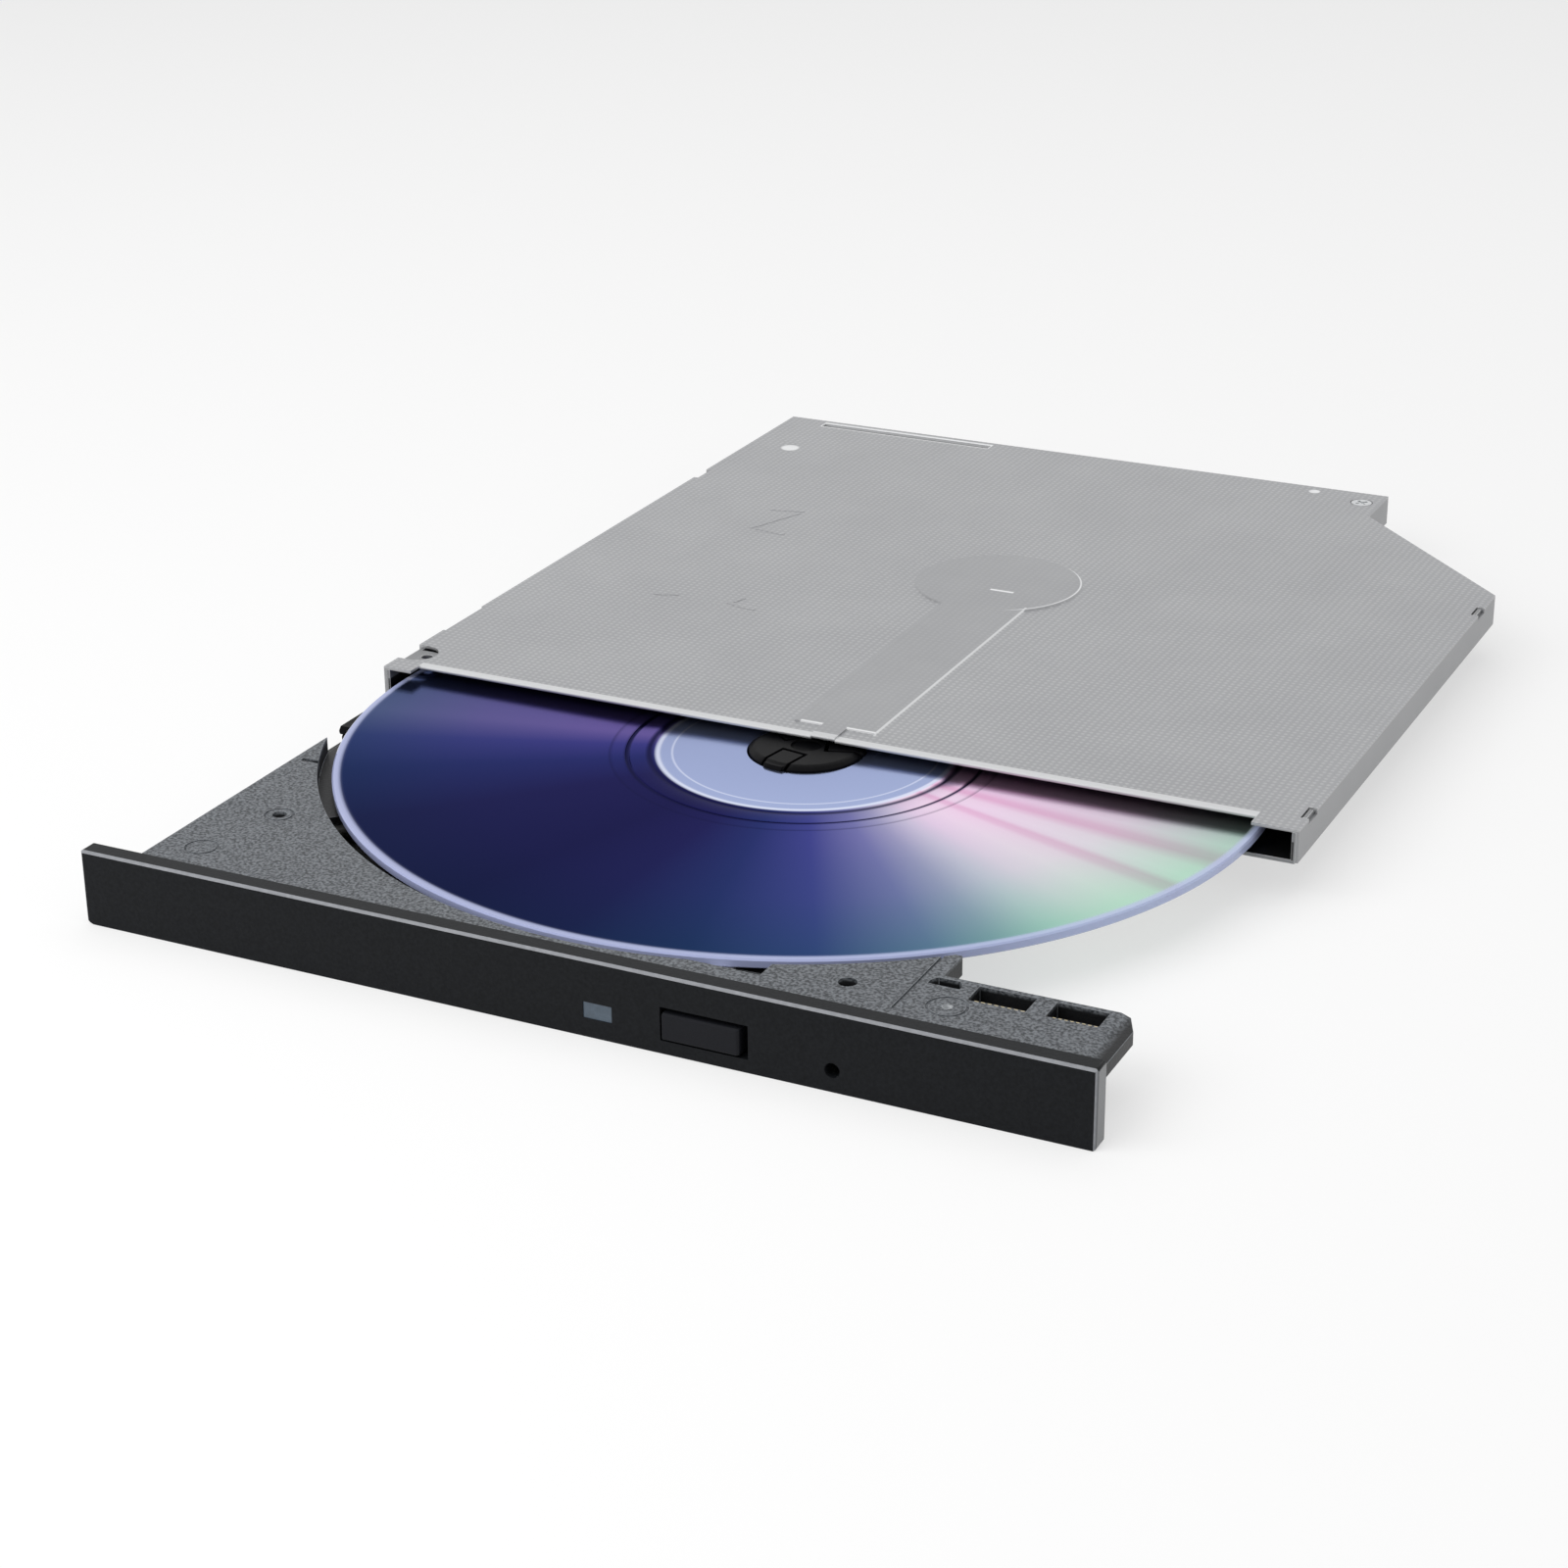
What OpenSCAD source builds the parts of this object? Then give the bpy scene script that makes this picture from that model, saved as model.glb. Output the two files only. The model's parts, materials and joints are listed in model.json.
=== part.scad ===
// Slim internal DVD writer, 9.5 mm high, with its tray about half open and a disc on the hub.
// Origin: centre of the housing's underside. X runs left to right, Y runs front to rear, Z is up.
// Every module below is drawn in the housing's corner frame (X = 0 left side, Y = 0 front mouth,
// Z = 0 underside), and pieces on the tray are drawn where they are when the tray is shut.

/* [Housing] */
// Width of the housing, left to right
case_w = 128; // [127:0.5:132]
// Depth of the housing, front mouth to rear wall
case_d = 126.1; // [125.8:0.1:130]
// Overall height, underside to the raised channel on the cover
case_h = 9.5; // [9.5:0.1:10.5]
// Width of the full-height part, from the left side
deep_w = 101.7; // [101.3:0.1:103]
// Height of the thin wing's underside
wing_z = 4.8; // [4.6:0.1:5]
// Distance from the mouth to where the chamfer leaves the right side
chamfer_y = 89.4; // [84:0.1:92]
// Sheet thickness of the lower housing
base_t = 0.5; // [0.4:0.05:0.55]
// Sheet thickness of the cover
cover_t = 0.4; // [0.3:0.05:0.45]
// How far the cover's front edge is set back between its corners
mouth_setback = 2.2; // [1.5:0.1:3]
// Width of each front corner of the cover that reaches the mouth
corner_w = 4.2; // [3:0.1:7]
// Radius of the rolled hem along the cover's front edge
hem_r = 0.3; // [0.2:0.02:0.33]
// Lowest point of the cover's side flanges
flange_z = 5.0; // [4.9:0.1:6]

/* [Cover channel] */
// Height of the raised keyhole channel
channel_h = 0.2; // [0.1:0.05:0.25]
// Radius of the channel's round end, over the hub of a shut tray
channel_r = 11.8; // [9:0.1:14]
// Left edge of the channel
channel_left = 58.8; // [55:0.1:60]
// Right edge of the channel
channel_right = 69.9; // [68:0.1:74]
// Front end of the channel
channel_front = 5.8; // [4:0.1:9]
// Width of the slope round the channel
channel_slope = 0.4; // [0.2:0.05:0.6]

/* [Tray] */
// How far the tray stands out of the housing
tray_out = 63.4; // [0:0.1:120]
// Left side of the tray
tray_left = 5.1; // [5:0.1:6]
// Distance from the deep part's right side to the tray's right side
tray_right_gap = 5.1; // [4.9:0.1:5.7]
// Distance from a shut tray's rear end to the housing's rear
tray_rear_gap = 3.1; // [2.1:0.1:5]
// Gap between the tray's top face and the cover
tray_headroom = 0.9; // [0.8:0.05:1.1]
// Depth of the disc well
well_depth = 2.1; // [1.9:0.05:2.3]
// Gap between the disc's edge and the wall of its well
well_gap = 1.8; // [1.5:0.1:3]
// Thickness of the tray's deck under the disc well
deck_skin = 1.1; // [0.9:0.05:1.2]
// Thickness of the tray's side walls
tray_wall = 1.2; // [1:0.1:1.3]
// Depth of the ear at the tray's right front, from the mouth
ear_d = 12.9; // [12.5:0.1:15]
// How far the shelf between tray and ear reaches over the wing
shelf_reach = 2.3; // [1.3:0.1:3.3]
// Width of the bevel along the ear's right edge
ear_bevel = 2.2; // [1:0.1:3]
// Width of the two windows in the ear
ear_window_w = [6.7, 6.0];
// Distance from the housing's right side to the left edge of the two windows in the ear
ear_window_in = [19.4, 10.4];

/* [Bezel] */
// Thickness of the bezel
bezel_t = 2.4; // [2:0.1:3]
// Gap between a shut bezel and the housing's mouth
bezel_gap = 0.5; // [0.3:0.1:1]
// Radius of the bezel's lower left corner
bezel_corner_r = 1.2; // [0.6:0.1:2]
// Radius of the bezel's other corners
bezel_small_r = 0.4; // [0.2:0.05:0.8]
// Chamfer along the bezel's front edges
bezel_chamfer = 0.3; // [0.1:0.05:0.5]
// Distance from the deep part's right side to the centre of the status window
lamp_in = 32.2; // [30.7:0.1:35.7]
// Centre of the status window, above the underside
lamp_z = 3.3; // [3:0.1:3.6]
// Width of the status window
lamp_w = 3.6; // [2:0.1:4]
// Height of the status window
lamp_h = 2.0; // [1.4:0.1:2.4]
// Distance from the deep part's right side to the centre of the emergency hole
pin_hole_in = 3.7; // [2.7:0.1:4.7]
// Centre of the emergency hole, above the underside
pin_hole_z = 2.6; // [2.3:0.1:2.9]
// Radius of the emergency hole
pin_hole_r = 0.9; // [0.6:0.05:1]

/* [Eject button] */
// Distance from the deep part's right side to the centre of the button
button_in = 19.4; // [18.7:0.1:20.2]
// Centre of the button, above the underside
button_z = 3.5; // [3.4:0.05:3.6]
// Width of the button
button_w = 9.4; // [8:0.1:9.6]
// Height of the button
button_h = 3.2; // [2.6:0.1:3.4]
// How far the button stands proud of the bezel
button_proud = 0.25; // [0:0.05:0.5]
// Gap beside the button on its left and below it
button_near_gap = 0.3; // [0.2:0.05:0.4]
// Gap beside the button on its right
button_side_gap = 1.0; // [0.3:0.1:1.2]
// Gap above the button
button_top_gap = 0.6; // [0.3:0.1:0.8]

/* [Disc and hub] */
// Radius of the disc
disc_r = 60; // [59.8:0.05:60]
// Thickness of the disc
disc_t = 1.2; // [1.1:0.05:1.25]
// Radius of the disc's centre hole
disc_hole_r = 7.5; // [7.4:0.05:7.6]
// Gap between the disc and the floor of its well
disc_lift = 0.5; // [0.4:0.05:0.6]
// Centre of the hub, from the left side
hub_x = 62.5; // [62.3:0.1:63]
// Centre of the hub, from the mouth of the housing, with the tray shut
hub_y = 64.7; // [64:0.1:64.9]
// Radius of the turntable
turntable_r = 13.0; // [12.5:0.1:13.5]
// Radius of the rotor bell
rotor_r = 11.5; // [10.5:0.1:11.7]
// Radial play between the hub cap and the disc
hub_play = 0.15; // [0.1:0.05:0.3]
// Radius of the spindle shaft
spindle_r = 0.75; // [0.6:0.05:1]

/* [Pickup] */
// Direction in which the pickup travels out from the hub, in degrees
sled_angle = 230; // [228:1:232]
// Distance of the lens from the hub's axis
lens_at = 40; // [24:0.5:58]
// Offset of the main guide shaft from the line of travel
main_shaft_v = 12; // [11.5:0.1:12.5]
// Offset of the second guide shaft from the line of travel
second_shaft_v = -12.5; // [-13:0.1:-12]
// Radius of the guide shafts
shaft_r = 0.75; // [0.6:0.05:0.8]
// Offset of the lead screw from the line of travel
screw_v = 17.8; // [17.5:0.1:18]
// Radius of the lead screw
screw_r = 0.9; // [0.7:0.05:1]
// Radial running play of shafts in their bores
run_play = 0.05; // [0.02:0.01:0.08]
// Radius of the objective lens
lens_r = 2.0; // [1.5:0.1:2.5]

/* [Rails] */
// Width of a rail
rail_w = 2.2; // [2:0.05:2.3]
// Height of a rail
rail_h = 3.2; // [3:0.1:3.4]
// Thickness of a rail's upper and lower flange
rail_flange = 0.8; // [0.6:0.05:0.9]
// Depth of the groove in each side of a rail
rail_groove = 0.75; // [0.6:0.05:0.8]
// Front end of the rails with the tray shut
rail_front = 17.5; // [16:0.5:20]
// Distance from the rear end of the left rail to the housing's rear, with the tray shut
rail_rear_gap = 4.6; // [2.6:0.1:13]
// Sliding play between rails, guides and tray
slide_play = 0.2; // [0.15:0.01:0.25]

/* [Latch] */
// Distance from the deep part's right side to the latch post
post_in = 8.1; // [7.9:0.1:8.3]
// Latch post, from the mouth
post_y = 9.0; // [8.8:0.1:9.2]
// Radius of the latch post
post_r = 0.9; // [0.7:0.05:1]
// How far the latch lever's pivot lies to the left of the latch post and behind it
pivot_from_post = [-4.6, 13.5];
// Reach of the emergency slider's arm, front to rear
slider_arm = 1.4; // [1:0.1:1.6]
// Radius of the lever's pivot
pivot_r = 1.0; // [0.8:0.05:1.2]

/* [Rear end] */
// Distance from the deep part's right side to the rear board's left edge
rear_board_in = 42.7; // [41.7:0.1:43.2]
// Distance from the housing's rear to the rear board's front edge
rear_board_d = 12.6; // [11.6:0.1:12.6]
// Distance from the deep part's right side to the centre of the SATA connector
sata_in = 23.7; // [22.7:0.5:24.7]
// Width of the SATA connector
sata_w = 32.6; // [30:0.1:33]
// Left and right end of the mounting bracket
bracket_x = [6.5, 36.3];
// Distance from the left side to each M2 thread in the bracket
bracket_screw_x = [11.4, 31.4];
// Height of the M2 threads
bracket_screw_z = 4.6; // [4:0.1:5]
// Radius of the M2 threads' bore
thread_r = 0.8; // [0.75:0.05:0.9]
// Thickness of the printed boards
pcb_t = 0.8; // [0.6:0.1:0.9]

/* [Flex cable] */
// Distance from the deep part's right side to the flat cable's left edge
flex_in = 35.7; // [33.7:0.5:36.7]
// Width of the flat cable
flex_w = 16; // [12:0.5:17]
// Thickness of the flat cable
flex_t = 0.12; // [0.1:0.01:0.16]
// Length of the flat cable's free run, from rear board to tray
flex_free = 137; // [134:1:140]

/* [Hidden] */
$fn = 48;

eps = 0.01;
air = 1;

// Inside of the housing
skin = cover_t + base_t;
in_left = skin;
in_right = deep_w - skin;
in_rear = case_d - skin;
rear_board_x = deep_w - rear_board_in;
rear_board_y = case_d - rear_board_d;
sata_x = deep_w - sata_in;
flex_x = deep_w - flex_in;
wing_floor = wing_z + base_t;
sheet_z = case_h - channel_h - cover_t;
sheet_top = sheet_z + cover_t;

// Levels of the tray
tray_top = sheet_z - tray_headroom;
well_z = tray_top - well_depth;
deck_under = well_z - deck_skin;
tray_z = base_t + 0.5;
plate_t = 0.3;
plate_z = tray_z + 0.5;
ear_z = wing_floor + 0.3;
bezel_back = -bezel_gap;
bezel_face = bezel_back - bezel_t;
well_r = disc_r + well_gap;
tray_right = deep_w - tray_right_gap;
tray_rear = case_d - tray_rear_gap;
shelf_right = deep_w + shelf_reach;
ear_right = case_w - skin - 0.3;
ear_window_x = [case_w - ear_window_in[0], case_w - ear_window_in[1]];
ear_screw_at = [case_w - 20.7, 6.3];
ear_hole_x = case_w - 23;
ear_notch_x = ear_right - 3.9;

// Places along the front
lamp_x = deep_w - lamp_in;
button_x = deep_w - button_in;
pin_hole_x = deep_w - pin_hole_in;
hook_x = [14, lamp_x - 17.5, lamp_x - 9.5];
hook_z = tray_z + 1.2;
pad_x = [button_x - 3.8, button_x - 1.4];

// Latch
post_x = deep_w - post_in;
latch_pivot = [post_x, post_y] + pivot_from_post;
solenoid_x = [latch_pivot[0] - 17.5, latch_pivot[0] - 5.6];
solenoid_y = 15;
plunger_z = plate_z + 2.0;

// Cut for the rear board in the tray's right rear corner
rear_cut_x = rear_board_x - 2.5;
rear_cut_y = rear_board_y - 1.5;

// Levels of the pickup and the spindle motor
disc_z = well_z + disc_lift;
metal_t = 0.5;
metal_z = deck_under - 0.2 - metal_t;
metal_top = metal_z + metal_t;
shaft_z = metal_z - 1.1;
motor_base_t = 0.4;
motor_base_z = metal_z - 2.15;
motor_base_top = motor_base_z + motor_base_t;
table_z = metal_top + 0.3;
table_top = disc_z - 0.4;
hub_r = disc_hole_r - hub_play;
hub_top = tray_top + 0.3;
hub_hole_r = turntable_r - 0.7;

// Travel of the pickup along its shafts, from the hub's axis
shaft_start = 15.5;
shaft_end = 64;
tab_t = 1;
sled_in = -6.5;
sled_nose = -9;
lens_min = 24;
sled_out = 5;
sled_z = metal_z - 2.0;
sled_top = metal_z - 0.2;

// Dampers: places in the pickup's own frame
damper_at = [[66.8, -7.9], [66.8, 7.4], [-18.4, 0]];
damper_r = 2.5;
damper_low = metal_z - 0.8;
motor_post_at = [for (a = [60, 180, 300]) 14.4 * [cos(a), sin(a)]];

// Feed motor
feed_start = 1;
feed_end = 15;
feed_r = 3;
feed_low = metal_z - 2.1;
feed_high = deck_under - 0.1;

// Rails
left_rail_x = in_left + 0.6;
left_rail_z = well_z - 0.1 - rail_h;
right_rail_x = in_right - 0.6 - rail_w;
right_rail_z = wing_z - 0.3 - rail_h;
strip_t = 0.4;
tray_corner_y = 14;
foot_h = 0.5;

// Eject button
button_left = button_x - button_w / 2;
button_right = button_x + button_w / 2;
button_low = button_z - button_h / 2;
button_high = button_z + button_h / 2;
button_room = [button_left - button_near_gap, button_right + button_side_gap];
button_room_z = [button_low - button_near_gap, button_high + button_top_gap];
button_travel = 0.6;
stem_end = 2.2;
front_board_top = button_z - 0.6;

// Boards
board_z = plate_z + plate_t + 0.6;
board_top = board_z + pcb_t;
control_y = [hub_y + 28.8, rear_cut_y - tray_wall - 0.3];
control_x = [tray_left + 7, post_x - 2.4];
control_w = control_x[1] - control_x[0];
control_screw_at = [[tray_left + 16, control_y[1] - 3.2],
  [control_x[0] + 0.555 * control_w, control_y[0] + 3], [control_x[1] - 3, control_y[1] - 3]];
rear_board_z = base_t + 1.1;
rear_board_top = rear_board_z + pcb_t;
rear_screw_at = [[rear_board_x + 2.6, rear_board_y + 2.6], [in_right - 2.8, rear_board_y + 2.6]];

// Tray screws, clear of the flat cable
tray_screw_at = [[tray_left + 5, 60], [tray_left + 5, 88], [post_x - 5.6, 86], [lamp_x - 3.5, 12]];

// Ejector, fixed to the floor behind the tray's left rear corner
ejector_x = 14;
ejector_z = 3.2;
ejector_pin_r = 1.1;
ejector_face = case_d - 22.1;
ejector_travel = 8;
ejector_front = ejector_face + ejector_travel + 1.2;

// Cover details: centre X, centre Y of the ears, dimples and snap tabs
channel_neck = [channel_left + 3.8, channel_right - 3.9];
front_ear = [2.9, 6.3];
rear_ear = [deep_w - 2.9, case_d - 4.5];
ear_hole_r = 0.8;
snap_tab_y = [5.4, 82];
snap_tab_w = 3.4;

// Flat cable: where it folds back over itself
flex_rear_y = rear_board_y - 5;
flex_tray_y = control_y[0] + 5 - tray_out;
flex_bend_y = (flex_rear_y + flex_tray_y + 26 - flex_free) / 2;
flex_upper_z = plate_z - 0.1 - flex_t;

// A low and a high value on both sides of a centre
function span(centre, low, high) = [centre + low, centre + high];

module in_case() {
  translate([-case_w / 2, -case_d / 2, 0]) children();
}

module in_tray() {
  in_case() translate([0, -tray_out, 0]) children();
}

module on_rails() {
  in_case() translate([0, -tray_out / 2, 0]) children();
}

// Frame of the pickup unit: X runs out from the hub along the lens's travel
module in_pickup() {
  in_tray() translate([hub_x, hub_y, 0]) rotate(sled_angle) children();
}

module on_sled() {
  in_pickup() translate([lens_at, 0, 0]) children();
}

// A block from its low and high X, Y and Z
module block(x, y, z) {
  translate([x[0], y[0], z[0]]) cube([x[1] - x[0], y[1] - y[0], z[1] - z[0]]);
}

module post(at, z, r) {
  translate([at[0], at[1], z[0]]) cylinder(r = r, h = z[1] - z[0]);
}

// A rod along Y
module rod_y(x, z, y, r) {
  translate([x, y[0], z]) rotate([-90, 0, 0]) cylinder(r = r, h = y[1] - y[0]);
}

// A rod along X
module rod_x(y, z, x, r) {
  translate([x[0], y, z]) rotate([0, 90, 0]) cylinder(r = r, h = x[1] - x[0]);
}

// A profile drawn in X and Z, drawn out along Y
module along_y(y) {
  translate([0, y[1], 0]) rotate([90, 0, 0]) linear_extrude(y[1] - y[0]) children();
}

// A profile drawn in Y and Z, drawn out along X
module along_x(x) {
  translate([x[0], 0, 0]) rotate([90, 0, 90]) linear_extrude(x[1] - x[0]) children();
}

module slab(z) {
  translate([0, 0, z[0]]) linear_extrude(z[1] - z[0]) children();
}

// Small screw with a flat head and a cross recess, head upwards
module flat_screw(at, head_z, head_r, head_h, shank_r, shank_len) {
  difference() {
    union() {
      post(at, [head_z, head_z + head_h], head_r);
      post(at, [head_z - shank_len, head_z + eps], shank_r);
    }
    for (a = [45, 135])
      translate([at[0], at[1], head_z + head_h]) rotate(a)
        cube([head_r * 1.3, head_r * 0.28, head_h * 1.1], center = true);
  }
}

// The same screw with its head downwards
module flat_screw_up(at, head_z, head_r, head_h, shank_r, shank_len) {
  translate([0, 0, 2 * head_z]) mirror([0, 0, 1])
    flat_screw(at, head_z, head_r, head_h, shank_r, shank_len);
}

// Outline of the housing, moved in by a wall
function case_points(inset, front) =
  let (edge = case_w + chamfer_y - inset * sqrt(2))
  [[inset, front], [case_w - inset, front], [case_w - inset, edge - case_w + inset],
   [deep_w - inset, edge - deep_w + inset], [deep_w - inset, case_d - inset],
   [inset, case_d - inset]];

module case_plan(inset, front = 0) {
  polygon(case_points(inset, front));
}

// Ear bent from the housing's wall, with a screw hole
module case_ear(at, reach) {
  difference() {
    slab([sheet_z - base_t, sheet_z]) intersection() {
      union() {
        translate(at) circle(r = 1.9);
        translate(at + reach / 2)
          square([abs(reach[0]) + (reach[0] == 0 ? 3.8 : 0), abs(reach[1]) + (reach[1] == 0 ? 3.8 : 0)],
            center = true);
      }
      case_plan(cover_t + 0.1);
    }
    post(at, [sheet_z - air, sheet_z + air], ear_hole_r);
  }
}

module bottom_chassis() {
  color("silver") in_case() {
    difference() {
      union() {
        slab([wing_z, sheet_z]) case_plan(cover_t);
        block([cover_t, deep_w - cover_t], [0, case_d - cover_t], [0, wing_z + eps]);
      }
      slab([wing_floor, case_h + air]) case_plan(skin, -air);
      block([in_left, in_right], [-air, in_rear], [base_t, wing_floor + eps]);
      // notch in the rear wall for the mounting bracket, and window for the connector
      block(bracket_x + [-0.3, 0.3], [in_rear - air, case_d], [tray_z, case_h]);
      block([sata_x - sata_w / 2 - 0.3, sata_x + sata_w / 2 + 0.3], [in_rear - air, case_d],
        [base_t + 0.4, rear_board_top + 4]);
      // long shallow beads that stiffen the floor, and two round ones
      for (x = [20, 44, 86]) block([x, x + 2], [14, 104], [-air, 0.15]);
      difference() {
        post([hub_x, hub_y], [-air, 0.15], 9);
        post([hub_x, hub_y], [-2 * air, air], 7);
      }
      post([30, 112], [-air, 0.15], 4);
      // countersinks of the guide screws
      guide_screw_holes();
    }
    // snap tabs that stand up through the cover
    for (y = snap_tab_y)
      block([case_w - skin, case_w - cover_t], [y - snap_tab_w / 2 + 0.3, y + snap_tab_w / 2 - 0.3],
        [sheet_z - eps, sheet_top - 0.1]);
    case_ear(front_ear, [in_left - front_ear[0], 0]);
    case_ear(rear_ear, [0, in_rear - rear_ear[1]]);
    // raised rests for the rear board
    for (at = rear_screw_at) difference() {
      post(at, [base_t - eps, rear_board_z], 1.8);
      post(at, [base_t, rear_board_z + air], 0.55);
    }
  }
}

guide_screw_at = [[in_left + 2.4, 22], [in_left + 2.4, case_d - 20.1], [in_right - 2.4, 22],
  [in_right - 2.4, case_d - 20.1]];

module guide_screw_holes() {
  for (at = guide_screw_at) {
    post(at, [-air, 0.32], 1.25);
    post(at, [-air, base_t + air], 0.65);
  }
}

module guide_screws() {
  color("dimgray") in_case()
    for (at = guide_screw_at) flat_screw_up(at, 0.32, 1.2, 0.3, 0.5, 0.6);
}

// Raised keyhole channel: a round end, a band and a neck to the front edge
module channel(z, h, grow) {
  low = grow + channel_slope;
  translate([hub_x, hub_y, z]) cylinder(r1 = channel_r + low, r2 = channel_r + grow, h = h);
  translate([0, 0, z]) along_y([channel_front - grow, hub_y])
    polygon([[channel_left - low, 0], [channel_right + low, 0],
             [channel_right + grow, h], [channel_left - grow, h]]);
  block(channel_neck + [-grow, grow], [mouth_setback, channel_front + 1], [z, z + h]);
}

// Stamped marks on the cover, as [X, Y, length, turn]
stamps = [[20.6, 81.6, 5.4, 12], [21, 76.6, 10, 68], [22.6, 71.6, 5, -8],
  [33.4, 40.8, 4.4, -12], [31.6, 42.6, 3.2, 70], [21.3, 40.9, 3.6, 20], [64.3, 61.5, 4.6, -2]];

module top_cover() {
  color("gainsboro") in_case() difference() {
    union() {
      slab([sheet_z, sheet_top]) case_plan(0);
      slab([flange_z, sheet_z + eps]) difference() {
        case_plan(0);
        case_plan(cover_t, -air);
      }
      channel(sheet_top - eps, channel_h + eps, 0);
      for (s = stamps) translate([s[0], s[1], sheet_top]) rotate(s[3])
        cube([s[2], 0.6, 0.12], center = true);
    }
    // front edge, set back between the corners, and what the hem needs
    block([corner_w, case_w - corner_w - 1.8], [-air, mouth_setback + hem_r],
      [sheet_z - air, case_h + air]);
    channel(sheet_z - eps, channel_h + eps, -channel_slope);
    // dimples
    translate([6.9, case_d - 15.5, sheet_top - 0.2]) cylinder(r1 = 1.0, r2 = 1.9, h = 0.2 + eps);
    translate([deep_w - 11.1, case_d - 2.2, sheet_top - 0.15]) cylinder(r1 = 0.5, r2 = 1.0, h = 0.15 + eps);
    // slot over the bracket's flange
    block(bracket_x + [0.1, -0.1], [case_d - 2.9, case_d - 1.5], [sheet_z - air, case_h]);
    // rounded notch over the front ear, and the small steps of the left edge
    post([1.6, front_ear[1]], [sheet_z - air, case_h], 2.7);
    block([-air, 1.6], span(front_ear[1], -2.7, 2.7), [flange_z - air, case_h]);
    block([-air, 0.7], [90.3, 94.5], [flange_z - air, case_h]);
    block([-air, 0.35], [15.3, 25.5], [flange_z - air, case_h]);
    // holes of the snap tabs
    for (y = snap_tab_y)
      block([case_w - skin - 0.2, case_w + air], span(y, -snap_tab_w / 2, snap_tab_w / 2),
        [sheet_z - 0.3, case_h]);
    // screw at the rear right corner
    post(rear_ear, [sheet_top - 0.25, case_h], 1.7);
    post(rear_ear, [sheet_z - air, case_h], ear_hole_r + 0.15);
    // the bracket and the connector stand free at the rear
    block(bracket_x + [-0.3, 0.3], [in_rear, case_d + air], [flange_z - air, sheet_z - 0.4]);
    block([sata_x - sata_w / 2 - 0.3, sata_x + sata_w / 2 + 0.3], [in_rear, case_d + air],
      [flange_z - air, rear_board_top + 4]);
  }
  color("gainsboro") in_case() cover_hem();
}

// Rolled hem along the set-back front edge, raised with the channel's neck
module cover_hem() {
  y = mouth_setback + hem_r;
  ends = [[corner_w, channel_neck[0]], channel_neck, [channel_neck[1], case_w - corner_w - 1.8]];
  for (i = [0:2]) {
    z = sheet_top - hem_r + (i == 1 ? channel_h : 0);
    rod_x(y, z, ends[i], hem_r);
    block(ends[i], [y, y + 0.3], [z + hem_r - cover_t, z + hem_r]);
  }
}

module cover_screw() {
  color("lightgray") in_case()
    flat_screw(rear_ear, sheet_top - 0.25, 1.55, 0.23, 0.7, 1.5);
}

// Steel bracket in the rear wall, with two M2 threads in drawn collars
module mount_bracket() {
  y = [in_rear - 0.2, case_d - 0.1];
  color("silver") in_case() difference() {
    union() {
      block(bracket_x, y, [tray_z + 0.2, sheet_z - 0.5]);
      block(bracket_x + [0.3, -0.3], [case_d - 3.2, case_d - cover_t - 0.1],
        [sheet_z - 0.5 - eps, sheet_z - 0.05]);
      for (x = bracket_screw_x) rod_y(x, bracket_screw_z, [y[0] - 0.7, y[1]], thread_r + 0.9);
    }
    for (x = bracket_screw_x) rod_y(x, bracket_screw_z, [y[0] - air - 0.7, y[1] + air], thread_r);
  }
}

// Guide on a side wall: strip, foot on the floor and a tongue that fills the rail's groove.
// Drawn with the wall at X = 0 and the inside towards +X.
module guide(rail_z, top, y, tongue_from) {
  mid = rail_z + rail_h / 2;
  tongue = rail_h / 2 - rail_flange - slide_play;
  along_y(y) translate([0, base_t]) square([strip_t, top - base_t]);
  along_y(y) translate([0, base_t]) square([3.6, foot_h]);
  along_y([tongue_from, y[1]]) translate([0, mid - tongue])
    square([0.6 + rail_groove - slide_play, 2 * tongue]);
}

module left_guide() {
  color("dimgray") in_case() difference() {
    translate([in_left, 0, 0]) guide(left_rail_z, well_z + 0.2, [1, in_rear - 1], 3);
    for (i = [0, 1]) post(guide_screw_at[i], [0, base_t + foot_h + air], 0.5);
  }
}

module right_guide() {
  color("dimgray") in_case() difference() {
    translate([in_right, 0, 0]) mirror([1, 0, 0])
      guide(right_rail_z, right_rail_z + rail_h, [1, rear_board_y - 1], tray_corner_y + 1.5);
    for (i = [2, 3]) post(guide_screw_at[i], [0, base_t + foot_h + air], 0.5);
  }
}

module latch_post() {
  color("silver") in_case() difference() {
    union() {
      post([post_x, post_y], [base_t, 3.6], post_r);
      post([post_x, post_y], [base_t, base_t + 0.3], post_r + 0.5);
    }
    translate([post_x, post_y, 3.6]) cylinder(r1 = 0.2, r2 = 0.5, h = 0.3, center = true);
  }
}

module rear_board() {
  color("darkgreen") in_case() difference() {
    block([rear_board_x, in_right - 0.4], [rear_board_y, in_rear - 0.3],
      [rear_board_z, rear_board_top]);
    for (at = rear_screw_at) post(at, [0, case_h], 0.6);
  }
}

module rear_board_screws() {
  color("silver") in_case()
    for (at = rear_screw_at) flat_screw(at, rear_board_top, 1.2, 0.4, 0.5, 1.5);
}

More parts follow.
